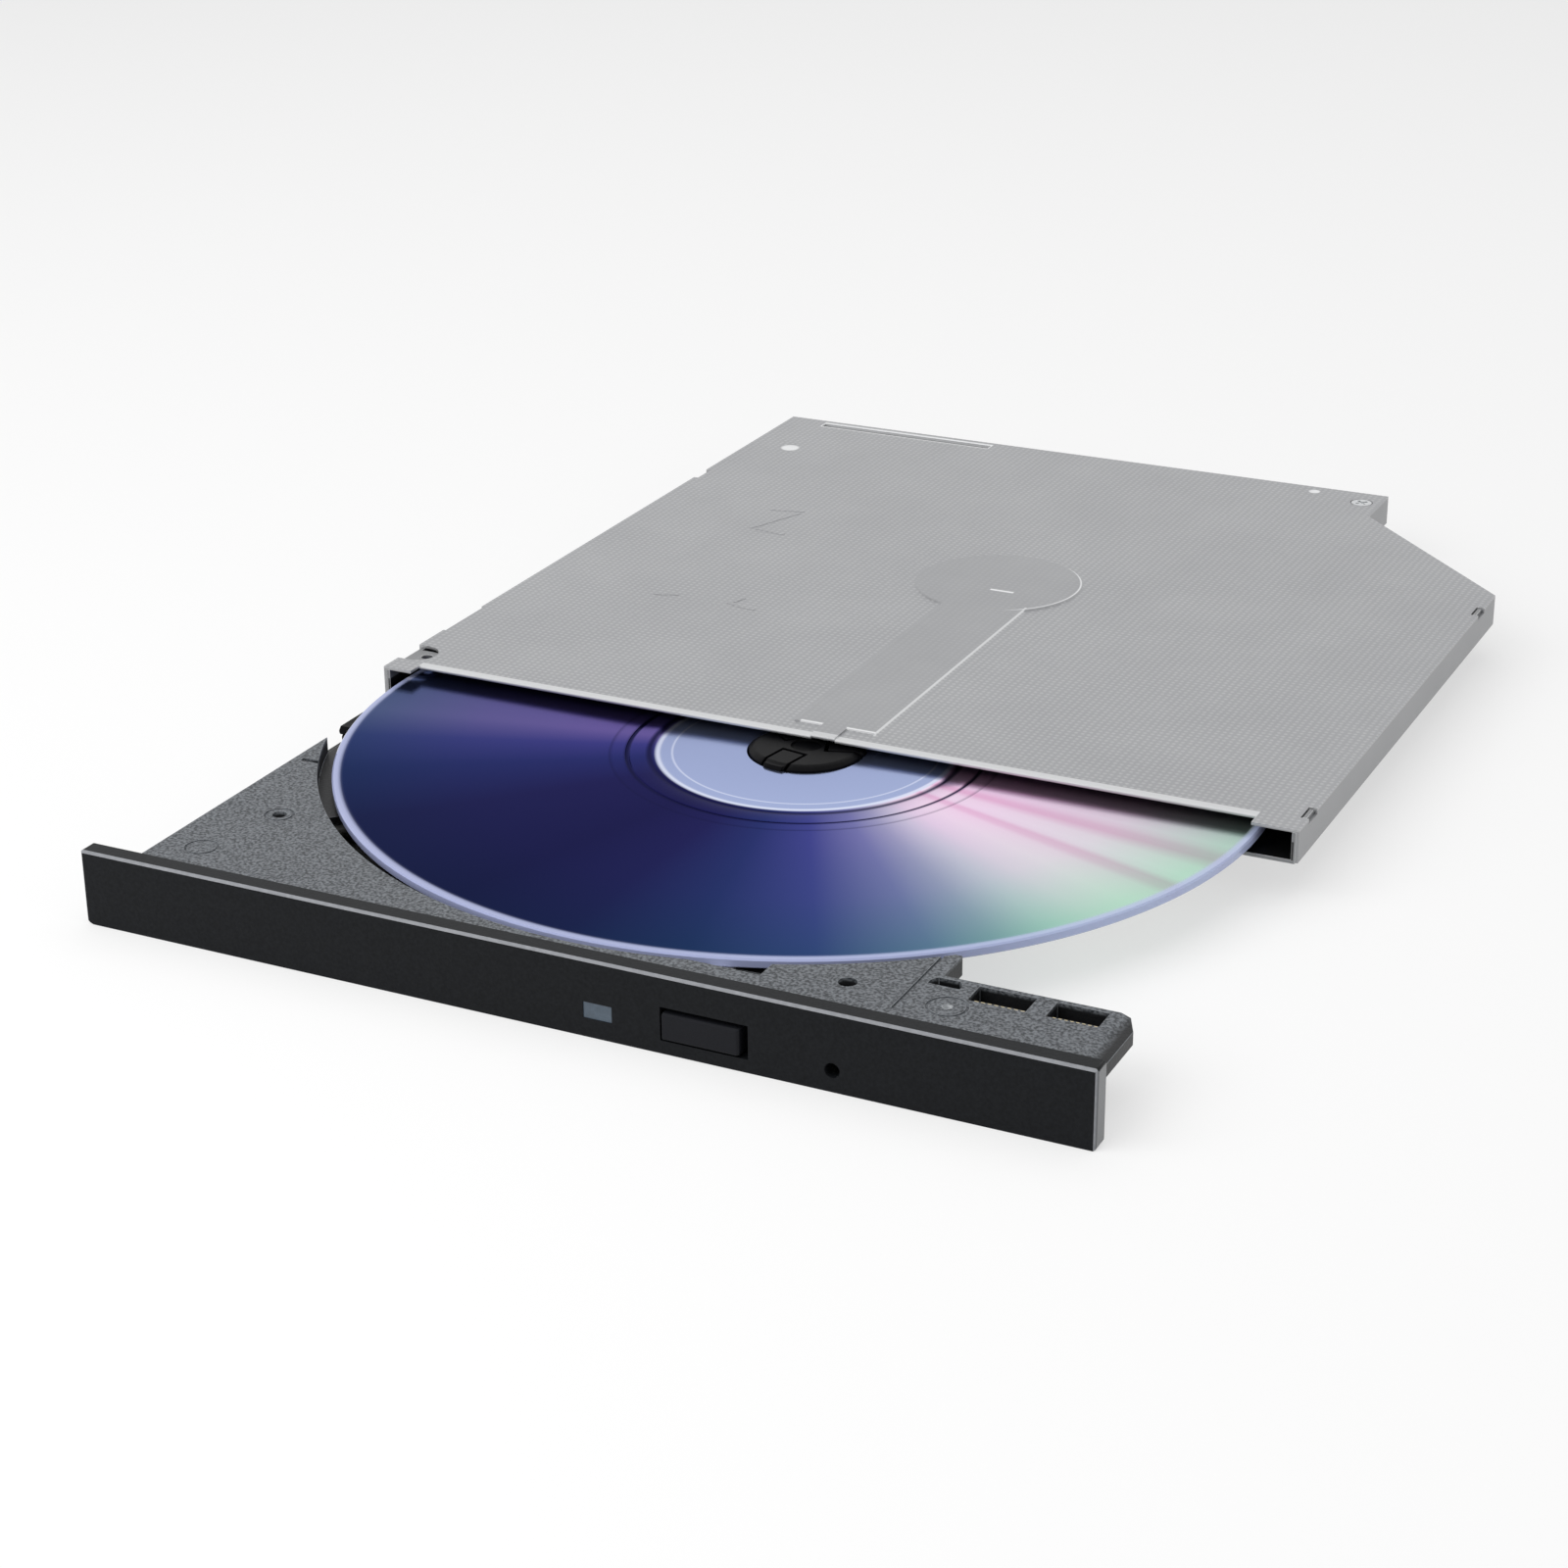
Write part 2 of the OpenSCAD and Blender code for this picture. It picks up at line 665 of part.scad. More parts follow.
// Slimline SATA plug: shroud with a wide and a narrow tongue side by side
module sata_connector() {
  z0 = rear_board_top;
  z1 = z0 + 3.7;
  x0 = sata_x - sata_w / 2;
  gap = 1.1;
  room = [case_d - 5.2, case_d + air];
  color("#202020") in_case() difference() {
    block([x0, x0 + sata_w], [in_rear - 6.5, case_d - 0.2], [z0, z1]);
    difference() {
      union() {
        block([x0 + gap, x0 + gap + 13.4], room, [z0 + 0.7, z1 - 0.7]);
        block([x0 + gap + 15, x0 + sata_w - gap], room, [z0 + 0.7, z1 - 0.7]);
      }
      block([x0 + gap + 1, x0 + gap + 12.4], room - [air, 1.4], [z0 + 1.5, z0 + 2.4]);
      block([x0 + gap + 16, x0 + sata_w - gap - 1], room - [air, 1.4], [z0 + 1.5, z0 + 2.4]);
    }
  }
}

module rear_flex_socket() {
  color("ivory") in_case() difference() {
    block([flex_x - 1.2, flex_x + flex_w + 1.2], [rear_board_y + 0.3, rear_board_y + 4],
      [rear_board_top, rear_board_top + 1.1]);
    block([flex_x - 0.1, flex_x + flex_w + 0.1], [rear_board_y - air, rear_board_y + 2.6],
      [rear_board_top + 0.45, rear_board_top + 0.65]);
  }
}

// Side view of the flat cable: up from the floor to the rear socket, forward along the floor,
// round the fold, and back under the tray up to the tray's own socket
module flex_cable() {
  fold_z = (base_t + flex_upper_z + flex_t) / 2;
  fold_r = (flex_upper_z + flex_t - base_t) / 2;
  rise = [rear_board_y + 2.4, rear_board_top + 0.5];
  socket_z = board_z - 0.35;
  color("#d8d4c4") in_case() along_x([flex_x, flex_x + flex_w]) {
    translate([flex_bend_y - 0.03, base_t]) square([flex_rear_y - 2.9 - flex_bend_y, flex_t]);
    polygon([[flex_rear_y - 3, base_t], [flex_rear_y - 3 + eps, base_t + flex_t],
      [rear_board_y - 0.4, rise[1] + flex_t], [rise[0], rise[1] + flex_t],
      [rise[0], rise[1]], [rear_board_y - 0.4, rise[1]], [flex_rear_y - 2.6, base_t]]);
    intersection() {
      difference() {
        translate([flex_bend_y, fold_z]) circle(r = fold_r);
        translate([flex_bend_y, fold_z]) circle(r = fold_r - flex_t);
      }
      translate([flex_bend_y - air, 0]) square([air + eps, case_h]);
    }
    translate([flex_bend_y - 0.03, flex_upper_z])
      square([flex_tray_y - flex_bend_y + 0.05, flex_t]);
    polygon([[flex_tray_y - eps, flex_upper_z], [flex_tray_y - eps, flex_upper_z + flex_t],
      [flex_tray_y + 1, socket_z + flex_t], [flex_tray_y + 3.4, socket_z + flex_t],
      [flex_tray_y + 3.4, socket_z], [flex_tray_y + 1.2, socket_z], [flex_tray_y + 0.2, flex_upper_z]]);
  }
}

// Spring box on the floor; its pin pushes the tray out when the latch lets go
module ejector_housing() {
  w = 3.2;
  color("dimgray") in_case() difference() {
    block([ejector_x - w, ejector_x + w], [ejector_front, in_rear - 0.9], [base_t, deck_under - 0.3]);
    rod_y(ejector_x, ejector_z, [ejector_front - air, in_rear - 0.9 - 1], ejector_pin_r + 0.1);
    for (s = [-1, 1]) translate([ejector_x + s * w, 0, deck_under - 0.3]) rotate([0, 45, 0])
      cube([0.8, 3 * case_d, 0.8], center = true);
  }
}

module ejector_pin() {
  tail = in_rear - 0.9 - 1 - ejector_travel - 0.3;
  color("ivory") in_case() difference() {
    union() {
      rod_y(ejector_x, ejector_z, [ejector_face + 0.3, tail], ejector_pin_r);
      rod_y(ejector_x, ejector_z, [ejector_face + 0.3, ejector_face + 1], 1.5);
    }
    rod_y(ejector_x, ejector_z, [tail - 1, tail + air], 0.6);
  }
}

// Rail: an I-section whose two grooves run on the guide's and the tray's tongues
module rail_profile() {
  difference() {
    square([rail_w, rail_h]);
    for (x = [-eps, rail_w - rail_groove])
      translate([x, rail_flange]) square([rail_groove + eps, rail_h - 2 * rail_flange]);
  }
}

module rail_bar(x, z, rear) {
  on_rails() difference() {
    translate([x, 0, z]) along_y([rail_front, rear]) rail_profile();
    // run-in bevels at the front end, on top and at both sides
    translate([x, rail_front, z + rail_h]) rotate([45, 0, 0])
      cube([2 * rail_w + 9, 1.4, 1.4], center = true);
    for (s = [0, rail_w]) translate([x + s, rail_front, z]) rotate(45)
      cube([0.8, 0.8, 3 * rail_h], center = true);
    // lightening slots in the web
    for (y = [14:18:rear - rail_front - 14]) translate([0, rail_front + y, 0])
      block([x - air, x + rail_w + air], [0, 8], span(z + rail_h / 2, -0.35, 0.35));
  }
}

module left_rail() {
  color("#1c1c1c") rail_bar(left_rail_x, left_rail_z, case_d - rail_rear_gap);
}

module right_rail() {
  // ends before the rear board when the tray is shut
  color("#1c1c1c") rail_bar(right_rail_x, right_rail_z, rear_board_y - 1);
}

function tray_points(inset) =
  [[tray_left + inset, bezel_back + inset], [tray_right - inset, bezel_back + inset],
   [tray_right - inset, rear_cut_y - inset], [rear_cut_x - inset, rear_cut_y - inset],
   [rear_cut_x - inset, tray_rear - inset], [tray_left + inset, tray_rear - inset]];

// Ear at the tray's right front, bevelled along its right edge
module tray_ear() {
  intersection() {
    slab([ear_z, tray_top]) polygon([[shelf_right - 2, bezel_back], [ear_right, bezel_back],
      [ear_right, ear_d - 2.2], [ear_right - 1.1, ear_d], [shelf_right - 2, ear_d]]);
    along_y([bezel_back, ear_d]) polygon([[0, ear_z], [ear_right, ear_z],
      [ear_right, tray_top - 0.8], [ear_right - ear_bevel, tray_top], [0, tray_top]]);
  }
}

// Opening in the tray's deck over the hub and the pickup, in the pickup's frame
module pickup_window() {
  circle(r = turntable_r + 2.2);
  polygon([[-13, -14.5], [54, -14.5], [58, -9], [63.5, -9], [63.5, 9], [58, 9], [54, 14.5],
    [-13, 14.5]]);
}

module tray_body() {
  left_mid = left_rail_z + rail_h / 2;
  right_mid = right_rail_z + rail_h / 2;
  tongue = rail_h / 2 - rail_flange - slide_play;
  left_groove = left_rail_x + rail_w - rail_groove + slide_play;
  right_groove = right_rail_x + rail_groove - slide_play;
  slab([tray_z, tray_top]) polygon(tray_points(0));
  block([tray_right - 1, shelf_right], [bezel_back, 18.2], [ear_z, tray_top]);
  block([tray_right - 1, right_rail_x + rail_w], [bezel_back, tray_corner_y], [plate_z, ear_z + eps]);
  tray_ear();
  block([left_groove, tray_left + eps], [1, tray_rear - 1], span(left_mid, -tongue, tongue));
  block([tray_right - eps, right_groove], [15, rear_cut_y - 1], span(right_mid, -tongue, tongue));
}

module tray_cuts() {
  hub = [hub_x, hub_y];
  post(hub, [well_z, tray_top + air], well_r);
  slab([0, deck_under]) polygon(tray_points(tray_wall));
  // cored corners round the disc well
  slab([deck_under - eps, tray_top - tray_wall]) difference() {
    polygon(tray_points(tray_wall));
    translate(hub) circle(r = well_r + tray_wall);
    translate([post_x - 4, 0]) square([20, 20]);
  }
  translate([hub_x, hub_y, 0]) rotate(sled_angle) slab([deck_under - air, well_z + air])
    pickup_window();
  in_pickup_place() for (at = damper_at) post(at, [0, well_z - 0.25], 0.7);
  // way for the latch post, out through the rear wall
  block(span(post_x, -1.3, 1.3), [20, rear_cut_y + air], [0, deck_under]);
  // corner for the ejector's pin and box
  block(span(ejector_x, -3.8, 3.8), [ejector_face, tray_rear + air], [0, deck_under]);
  // front wall: button, status window, emergency pin and the bezel's hooks
  block(button_room + [-0.7, 0.7], [bezel_back - air, tray_wall + 0.4],
    button_room_z + [-0.5, 0.6]);
  block(span(lamp_x, -lamp_w / 2 - 0.1, lamp_w / 2 + 0.1), [bezel_back - air, tray_wall + 0.4],
    span(lamp_z, -lamp_h / 2 - 0.1, lamp_h / 2 + 0.1));
  slider_room();
  for (x = hook_x) block(span(x, -1.7, 1.7), [bezel_back - air, tray_wall],
    [hook_z - 0.5, hook_z + 1.2]);
  ear_cuts();
  // holes and marks of the top face
  post([tray_right - 1.4, 7.1], [ear_z, tray_top + air], 1.1);
  post([13.5, 18.6], [0, tray_top + air], 0.9);
  ring_mark([13.5, 18.6], 1.9);
  ring_mark([10.5, 6.7], 2.1);
  // slot at the front of the well, and one in the left rim
  block(span(button_x, -6.5, 3.5), [4.6, 8.5], [deck_under - air, tray_top + air]);
  block([6.2, 9.4], [34, 34.8], [well_z, tray_top + air]);
}

// Shallow ring left by a moulding pin
module ring_mark(at, r) {
  difference() {
    post(at, [tray_top - 0.2, tray_top + air], r);
    post(at, [tray_top - 0.3, tray_top + 2 * air], r - 0.35);
  }
}

module ear_cuts() {
  window_y = [8.7, 12.2];
  for (i = [0, 1]) {
    x = ear_window_x[i];
    block([x, x + ear_window_w[i]], window_y, [ear_z + 0.5, tray_top + air]);
  }
  // half-round hole near the rear edge
  intersection() {
    post([ear_hole_x, 10.9], [ear_z + 0.5, tray_top + air], 1.9);
    block(span(ear_hole_x, -5, 5), [10.6, 12.3], [ear_z, tray_top + 2 * air]);
  }
  // screw seat with a ring
  ring_mark(ear_screw_at, 2.4);
  post(ear_screw_at, [ear_z - air, tray_top + air], 0.5);
  // seam between shelf and ear, half-round notch behind the bezel
  block(span(shelf_right, -2.1, -1.8), [3.6, 18.3], [tray_top - 0.25, tray_top + air]);
  post([ear_notch_x, 0], [ear_z - air, tray_top + air], 1.6);
}

// Bosses, ribs and pins under the deck; outside the disc well they reach the cored roof
module tray_bosses() {
  top = tray_top - tray_wall + eps;
  for (at = tray_screw_at) difference() {
    post(at, [plate_z + plate_t, top], 1.8);
    post(at, [0, deck_under - 0.6], 0.6);
  }
  for (at = control_screw_at) difference() {
    post(at, [board_top, top], 1.7);
    post(at, [0, deck_under - 0.4], 0.6);
  }
  in_pickup_place() for (at = damper_at) difference() {
    post(at, [deck_under, top], 2.2);
    post(at, [0, case_h], 0.7);
  }
  post(latch_pivot, [plate_z + plate_t + 0.1, top], pivot_r);
  block([tray_left + 1, rear_cut_x - 1], [control_y[0] - 3.3, control_y[0] - 2.3],
    [deck_under - 1.6, top]);
  block([tray_left + 1, rear_cut_x - 1], [tray_rear - 5.6, tray_rear - 4.6],
    [deck_under - 1.6, top]);
  // wall that the ejector's pin pushes on
  block(span(ejector_x, -3.8, 3.8), [ejector_face - 1.2, ejector_face], [plate_z + plate_t, top]);
}

// The pickup's place, without the move to the housing's frame
module in_pickup_place() {
  translate([hub_x, hub_y, 0]) rotate(sled_angle) children();
}

module tray() {
  color("#5e6266") in_tray() {
    difference() {
      tray_body();
      tray_cuts();
    }
    difference() {
      tray_bosses();
      block(span(ejector_x, -3.8, 3.8), [ejector_face, tray_rear + air], [0, deck_under]);
      post([hub_x, hub_y], [deck_under + eps, case_h], well_r + tray_wall - 0.05);
    }
  }
}

// Bezel outline: one large and three small corner radii
module bezel_outline() {
  r = bezel_small_r;
  R = bezel_corner_r;
  difference() {
    square([case_w, case_h]);
    corner_cut([0, 0], R, [1, 1]);
    corner_cut([case_w, 0], r, [-1, 1]);
    corner_cut([0, case_h], r, [1, -1]);
    corner_cut([case_w, case_h], r, [-1, -1]);
  }
}

// What a corner loses when it is rounded; side points into the plate
module corner_cut(at, r, side) {
  translate(at) difference() {
    translate([side[0] * r / 2, side[1] * r / 2]) square(r + 2 * eps, center = true);
    translate([side[0] * r, side[1] * r]) circle(r = r);
  }
}

module bezel() {
  c = bezel_chamfer * sqrt(2);
  color("#202226") in_tray() difference() {
    union() {
      along_y([bezel_face, bezel_back]) bezel_outline();
      for (x = hook_x) {
        block(span(x, -1.4, 1.4), [bezel_back - eps, tray_wall + 0.9], [hook_z, hook_z + 0.8]);
        block(span(x, -1.4, 1.4), [tray_wall + 0.2, tray_wall + 0.9], [hook_z - 0.4, hook_z + 0.8]);
      }
    }
    // chamfered front edges, top and both ends
    translate([case_w / 2, bezel_face, case_h]) rotate([45, 0, 0])
      cube([case_w + 2, c, c], center = true);
    for (x = [0, case_w]) translate([x, bezel_face, 0]) rotate(45)
      cube([c, c, 4 * case_h], center = true);
    block(button_room, [bezel_face - air, bezel_back + air], button_room_z);
    block(span(lamp_x, -lamp_w / 2, lamp_w / 2), [bezel_face - air, bezel_back + air],
      span(lamp_z, -lamp_h / 2, lamp_h / 2));
    rod_y(pin_hole_x, pin_hole_z, [bezel_face - air, bezel_back + air], pin_hole_r);
  }
}

module light_pipe() {
  color("#8fa3b2") in_tray() union() {
    block(span(lamp_x, -lamp_w / 2, lamp_w / 2), [bezel_face + 0.1, 1.1],
      span(lamp_z, -lamp_h / 2, lamp_h / 2));
    block(span(lamp_x, -0.6, 0.6), [1, 1.7], [front_board_top, front_board_top + 0.9]);
  }
}

module status_led() {
  color("honeydew") in_tray() difference() {
    block(span(lamp_x, -0.8, 0.8), [1.9, 2.9], [front_board_top, front_board_top + 0.9]);
    rod_y(lamp_x, front_board_top + 0.45, [1.9 - air, 2.1], 0.3);
  }
}

module button_board() {
  color("darkgreen") in_tray() difference() {
    block([lamp_x - 5, button_x + 4.4], [1.7, 7.4], [front_board_top - pcb_t, front_board_top]);
    post([lamp_x - 3, 5.4], [0, case_h], 0.6);
  }
  color("darkgreen") in_tray()
    block([lamp_x - 1.5, lamp_x + 1.5], [7.3, 8.6], [front_board_top - pcb_t, front_board_top]);
}

module eject_switch() {
  color("#303030") in_tray() {
    block(span(button_x, -2.6, 2.6), [3.5, 6.6], [front_board_top, front_board_top + 1.3]);
    block(span(button_x, -0.8, 0.8), [stem_end + button_travel + 0.15, 3.6],
      [front_board_top + 0.3, front_board_top + 1.0]);
  }
}

module eject_button() {
  color("#222326") in_tray() {
    difference() {
      block([button_left, button_right], [bezel_face - button_proud, bezel_back + 0.2],
        [button_low, button_high]);
      translate([button_x, bezel_face - button_proud, button_high]) rotate([45, 0, 0])
        cube([button_w + 1, 0.4, 0.4], center = true);
      translate([button_right, bezel_face - button_proud, button_z]) rotate(45)
        cube([0.4, 0.4, button_h + 1], center = true);
      block([button_left + 1, button_right - 1], [bezel_face + 0.8, bezel_back],
        [button_low + 0.8, button_high - 0.8]);
    }
    // flange that keeps the button behind the bezel, and the stem that meets the switch
    block(button_room + [-0.4, 0.4], [bezel_back + 0.1, bezel_back + 0.7],
      button_room_z + [-0.25, 0.3]);
    block(span(button_x, -1.5, 1.5), [bezel_back + 0.6, stem_end],
      [front_board_top + 0.2, front_board_top + 1.1]);
  }
}

// Tinned combs in the ear's windows: a bar with a row of teeth
module ear_combs() {
  teeth = 8;
  color("darkgoldenrod") in_tray() for (i = [0, 1]) {
    x = ear_window_x[i];
    w = ear_window_w[i];
    pitch = (w - 0.6) / teeth;
    block([x + 0.1, x + w - 0.1], [8.7, 9.1], [ear_z + 0.5, tray_top - 0.5]);
    for (k = [0:teeth - 1])
      block(span(x + 0.3 + pitch * k, 0.15, pitch - 0.15), [9, 9.7], [tray_top - 0.9, tray_top - 0.5]);
  }
}

// Pale pad across the slot at the front of the well
module disc_edge_pad() {
  color("whitesmoke") in_tray()
    block(pad_x, [4.6, 8.4], [deck_under, well_z + 0.3]);
}

module tray_bottom_plate() {
  color("lightgray") in_tray() difference() {
    slab([plate_z, plate_z + plate_t]) difference() {
      polygon([[tray_left + tray_wall + 0.2, 2.4], [lamp_x - 0.5, 2.4], [lamp_x - 0.5, 24],
        [control_x[1], 24], [control_x[1], rear_cut_y - tray_wall - 0.2],
        [rear_cut_x - tray_wall - 0.2, rear_cut_y - tray_wall - 0.2],
        [rear_cut_x - tray_wall - 0.2, tray_rear - tray_wall - 0.2],
        [tray_left + tray_wall + 0.2, tray_rear - tray_wall - 0.2]]);
      // clear of the motor, and the flat cable's way up to its socket
      translate([hub_x, hub_y]) circle(r = turntable_r + 3.2);
      translate([flex_x - 1, control_y[0] + 2]) square([flex_w + 2, 9]);
      translate([ejector_x - 3.8, ejector_face - 0.5]) square([7.6, 40]);
      // lightening slots
      for (y = [34, 50]) translate([tray_left + 4, y]) square([7, 9]);
    }
    for (at = tray_screw_at) post(at, [0, case_h], 0.7);
  }
}

module tray_screws() {
  color("silver") in_tray()
    for (at = tray_screw_at) flat_screw_up(at, plate_z, 1.4, 0.25, 0.55, 2.6);
}

module control_board() {
  color("darkgreen") in_tray() difference() {
    block(control_x, control_y, [board_z, board_top]);
    for (at = control_screw_at) post(at, [0, case_h], 0.65);
    block(span(ejector_x, -4.2, 4.2), [ejector_face - 1.6, tray_rear], [0, case_h]);
  }
}

// Packages on the control board: share of its width, distance from its front edge, side X, side Y
chips = [[0.226, 7, 12, 12], [0.441, 10.5, 7, 7], [0.706, 9.5, 9, 6], [0.858, 5.5, 6, 5],
  [0.302, 15.1, 5, 2.4]];

module control_chips() {
  color("#181818") in_tray() for (c = chips) let (x = control_x[0] + c[0] * control_w,
    y = control_y[0] + c[1]) difference() {
      block(span(x, -c[2] / 2, c[2] / 2), span(y, -c[3] / 2, c[3] / 2), [board_top, board_top + 1]);
      post([x - c[2] / 2 + 0.8, y - c[3] / 2 + 0.8], [board_top + 0.8, case_h], 0.3);
    }
}

module tray_flex_socket() {
  y = control_y[0] + 5;
  color("ivory") in_tray() difference() {
    block([flex_x - 1.2, flex_x + flex_w + 1.2], [y + 1.4, y + 4.6], [board_z - 0.55, board_z]);
    block([flex_x - 0.1, flex_x + flex_w + 0.1], [y, y + 3.6], span(board_z - 0.35, -0.05, 0.17));
  }
}

module control_board_screws() {
  color("silver") in_tray()
    for (at = control_screw_at) flat_screw_up(at, board_z, 1.3, 0.3, 0.55, 1.8);
}

// Pressed steel deck that carries the spindle motor, the shafts and the feed motor
module traverse_deck() {
  low = shaft_z - shaft_r - 0.15;
  color("gainsboro") in_pickup() difference() {
    union() {
      slab([metal_z, metal_top]) polygon([[-21.2, -2.4], [-21.2, 2.4], [-12, 15.2], [feed_start - 1, 15.2],
        [feed_start - 1, screw_v + 3.4], [feed_end + 2, screw_v + 3.4], [feed_end + 2, 15.2],
        [59, 15.2], [59, screw_v + 2], [63, screw_v + 2], [65.5, 13], [69.8, 9.9],
        [69.8, -10.4], [65.5, -13], [63, -15.2],
        [-8, -15.2]]);
      for (v = [main_shaft_v, second_shaft_v]) for (u = [shaft_start, shaft_end])
        block([u, u + tab_t], span(v, -2.2, 2.2), [low, metal_z + eps]);
      block([60.5, 61.5], span(screw_v, -1.7, 1.7), [shaft_z - 1.0, metal_z + eps]);
      // turned-down rim that stiffens the deck's rear side
      block([18, 60], [-15.2, -14.7], [metal_z - 1, metal_z + eps]);
    }
    post([0, 0], [0, case_h], hub_hole_r);
    block([18.5, 63.2], [-7.8, 7.8], [metal_z - air, case_h]);
    block([feed_start - 0.3, feed_end + 0.3], [screw_v - feed_r, screw_v + feed_r + 0.1],
      [metal_z - air, case_h]);
    for (v = [main_shaft_v, second_shaft_v]) shaft_rod(v, [0, 70], shaft_r + 0.01);
    shaft_rod(screw_v, [59, 70], screw_r - 0.3 + run_play);
    for (at = damper_at) post(at, [0, case_h], 1.75);
    for (at = motor_post_at) post(at, [0, case_h], 0.6);
  }
}

// A rod along the lens's travel, at the shafts' height
module shaft_rod(v, u, r) {
  rod_x(v, shaft_z, u, r);
}

module damper_rubbers() {
  color("#2a2a2c") in_pickup() for (at = damper_at) difference() {
    post(at, [damper_low, deck_under], damper_r);
    difference() {
      post(at, [metal_z, metal_top], damper_r + air);
      post(at, [metal_z - air, metal_top + air], 1.75);
    }
    post(at, [0, case_h], 0.9);
  }
}

module damper_screws() {
  color("silver") in_pickup()
    for (at = damper_at) flat_screw_up(at, damper_low, 1.9, 0.4, 0.65, 2.2);
}

module main_guide_shaft() {
  color("lightsteelblue") in_pickup()
    shaft_rod(main_shaft_v, [shaft_start - 0.5, shaft_end + tab_t + 0.4], shaft_r);
}

module second_guide_shaft() {
  color("lightsteelblue") in_pickup()
    shaft_rod(second_shaft_v, [shaft_start - 0.5, shaft_end + tab_t + 0.4], shaft_r);
}

// Stepper motor with its round can flattened above and below
module feed_motor() {
  color("silver") in_pickup() difference() {
    union() {
      intersection() {
        shaft_rod(screw_v, [feed_start, feed_end], feed_r - 0.1);
        block([feed_start - air, feed_end + air], span(screw_v, -feed_r, feed_r),
          [feed_low, feed_high]);
      }
      shaft_rod(screw_v, [feed_end - eps, feed_end + 0.8], 1.05);
    }
    shaft_rod(screw_v, [feed_end - 3, feed_end + 2], screw_r - 0.3 + run_play);
    // gap between the two windings
    difference() {
      shaft_rod(screw_v, [feed_start + 6.7, feed_start + 7.2], feed_r + 1);
      shaft_rod(screw_v, [feed_start + 6, feed_start + 8], feed_r - 0.5);
    }
  }
}

module lead_screw() {
  color("lightgray") in_pickup() union() {
    shaft_rod(screw_v, [feed_end + 1, 60.3], screw_r);
    shaft_rod(screw_v, [feed_end - 2.5, 61.6], screw_r - 0.3);
  }
}

module motor_base() {
  color("lightgray") in_pickup() difference() {
    union() {
      post([0, 0], [motor_base_z, motor_base_top], turntable_r - 0.4);
      for (at = motor_post_at) {
        post(at, [motor_base_z, metal_z], 1.35);
        translate([at[0] * 0.45, at[1] * 0.45, 0]) rotate(atan2(at[1], at[0]))
          block([0, 8], [-1.35, 1.35], [motor_base_z, motor_base_top]);
      }
    }
    for (at = motor_post_at) post(at, [0, case_h], 0.55);
    post([0, 0], [0, case_h], spindle_r + 1.1);
  }
}

module spindle_bearing() {
  color("darkgoldenrod") in_pickup() difference() {
    post([0, 0], [motor_base_z, metal_z + 0.1], spindle_r + 1.1);
    post([0, 0], [motor_base_z + 0.3, case_h], spindle_r + run_play);
  }
}

// Laminated star with nine wound poles
module spindle_stator() {
  poles = 9;
  z = [motor_base_top, motor_base_top + 1.5];
  color("peru") in_pickup() difference() {
    union() {
      post([0, 0], z, spindle_r + 3);
      for (k = [0:poles - 1]) rotate(360 / poles * k) {
        block([2, rotor_r - 2], [-0.7, 0.7], z + [0.4, -0.4]);
        block([4.2, rotor_r - 3.2], [-1.15, 1.15], z + [0.1, -0.1]);
        block([rotor_r - 2.6, rotor_r - 1.9], [-2.2, 2.2], z + [0.4, -0.4]);
      }
    }
    post([0, 0], [0, case_h], spindle_r + 1.1);
  }
}

module motor_screws() {
  color("silver") in_pickup()
    for (at = motor_post_at) flat_screw_up(at, motor_base_z, 1.1, 0.2, 0.5, 2.5);
}

module rotor() {
  color("silver") in_pickup() difference() {
    union() {
      post([0, 0], [motor_base_top + 0.35, table_z], rotor_r);
      post([0, 0], [metal_z + 0.35, table_z], spindle_r + 1);
    }
    difference() {
      post([0, 0], [0, table_z - 0.4], rotor_r - 0.5);
      post([0, 0], [metal_z + 0.35, case_h], spindle_r + 1);
    }
    post([0, 0], [0, case_h], spindle_r);
  }
}

module spindle_shaft() {
  color("lightsteelblue") in_pickup() post([0, 0], [motor_base_z + 0.5, table_top], spindle_r);
}

// Turntable: a dished plate with a raised rim under the friction ring
module turntable() {
  color("#2b2b2d") in_pickup() difference() {
    union() {
      post([0, 0], [table_z, table_z + 0.5], turntable_r);
      post([0, 0], [table_z, table_top], turntable_r - 0.2);
    }
    difference() {
      post([0, 0], [table_z + 0.6, case_h], turntable_r - 3.2);
      post([0, 0], [0, table_top], hub_r - 2);
    }
    post([0, 0], [0, case_h], spindle_r);
  }
}

module friction_ring() {
  color("#3a3a3d") in_pickup() difference() {
    post([0, 0], [table_top, disc_z], turntable_r - 0.3);
    post([0, 0], [0, case_h], turntable_r - 2.9);
  }
}

// Hub cap with three sprung claws that hold the disc's inner edge
module hub_cap() {
  cone = 0.5;
  claw_z = disc_z + disc_t + 0.05;
  color("#1a1a1c") in_pickup() {
    difference() {
      union() {
        post([0, 0], [table_top, hub_top - cone], hub_r);
        translate([0, 0, hub_top - cone]) cylinder(r1 = hub_r, r2 = hub_r - 0.9, h = cone);
      }
      for (a = [30, 150, 270]) rotate(a) {
        for (s = [-1, 1])
          block([2.6, hub_r + 1], span(s * 1.75, -0.2, 0.2), [table_top + 0.5, case_h]);
        block([2.4, 2.9], [-1.95, 1.95], [table_top + 0.5, case_h]);
      }
      post([0, 0], [hub_top - 0.3, case_h], 2.0);
    }
    for (a = [30, 150, 270]) rotate(a) translate([0, 0, claw_z]) intersection() {
      block([hub_r - 1, hub_r + 1], [-1.4, 1.4], [0, 0.45]);
      cylinder(r1 = hub_r + 0.35, r2 = hub_r, h = 0.45);
    }
  }
}

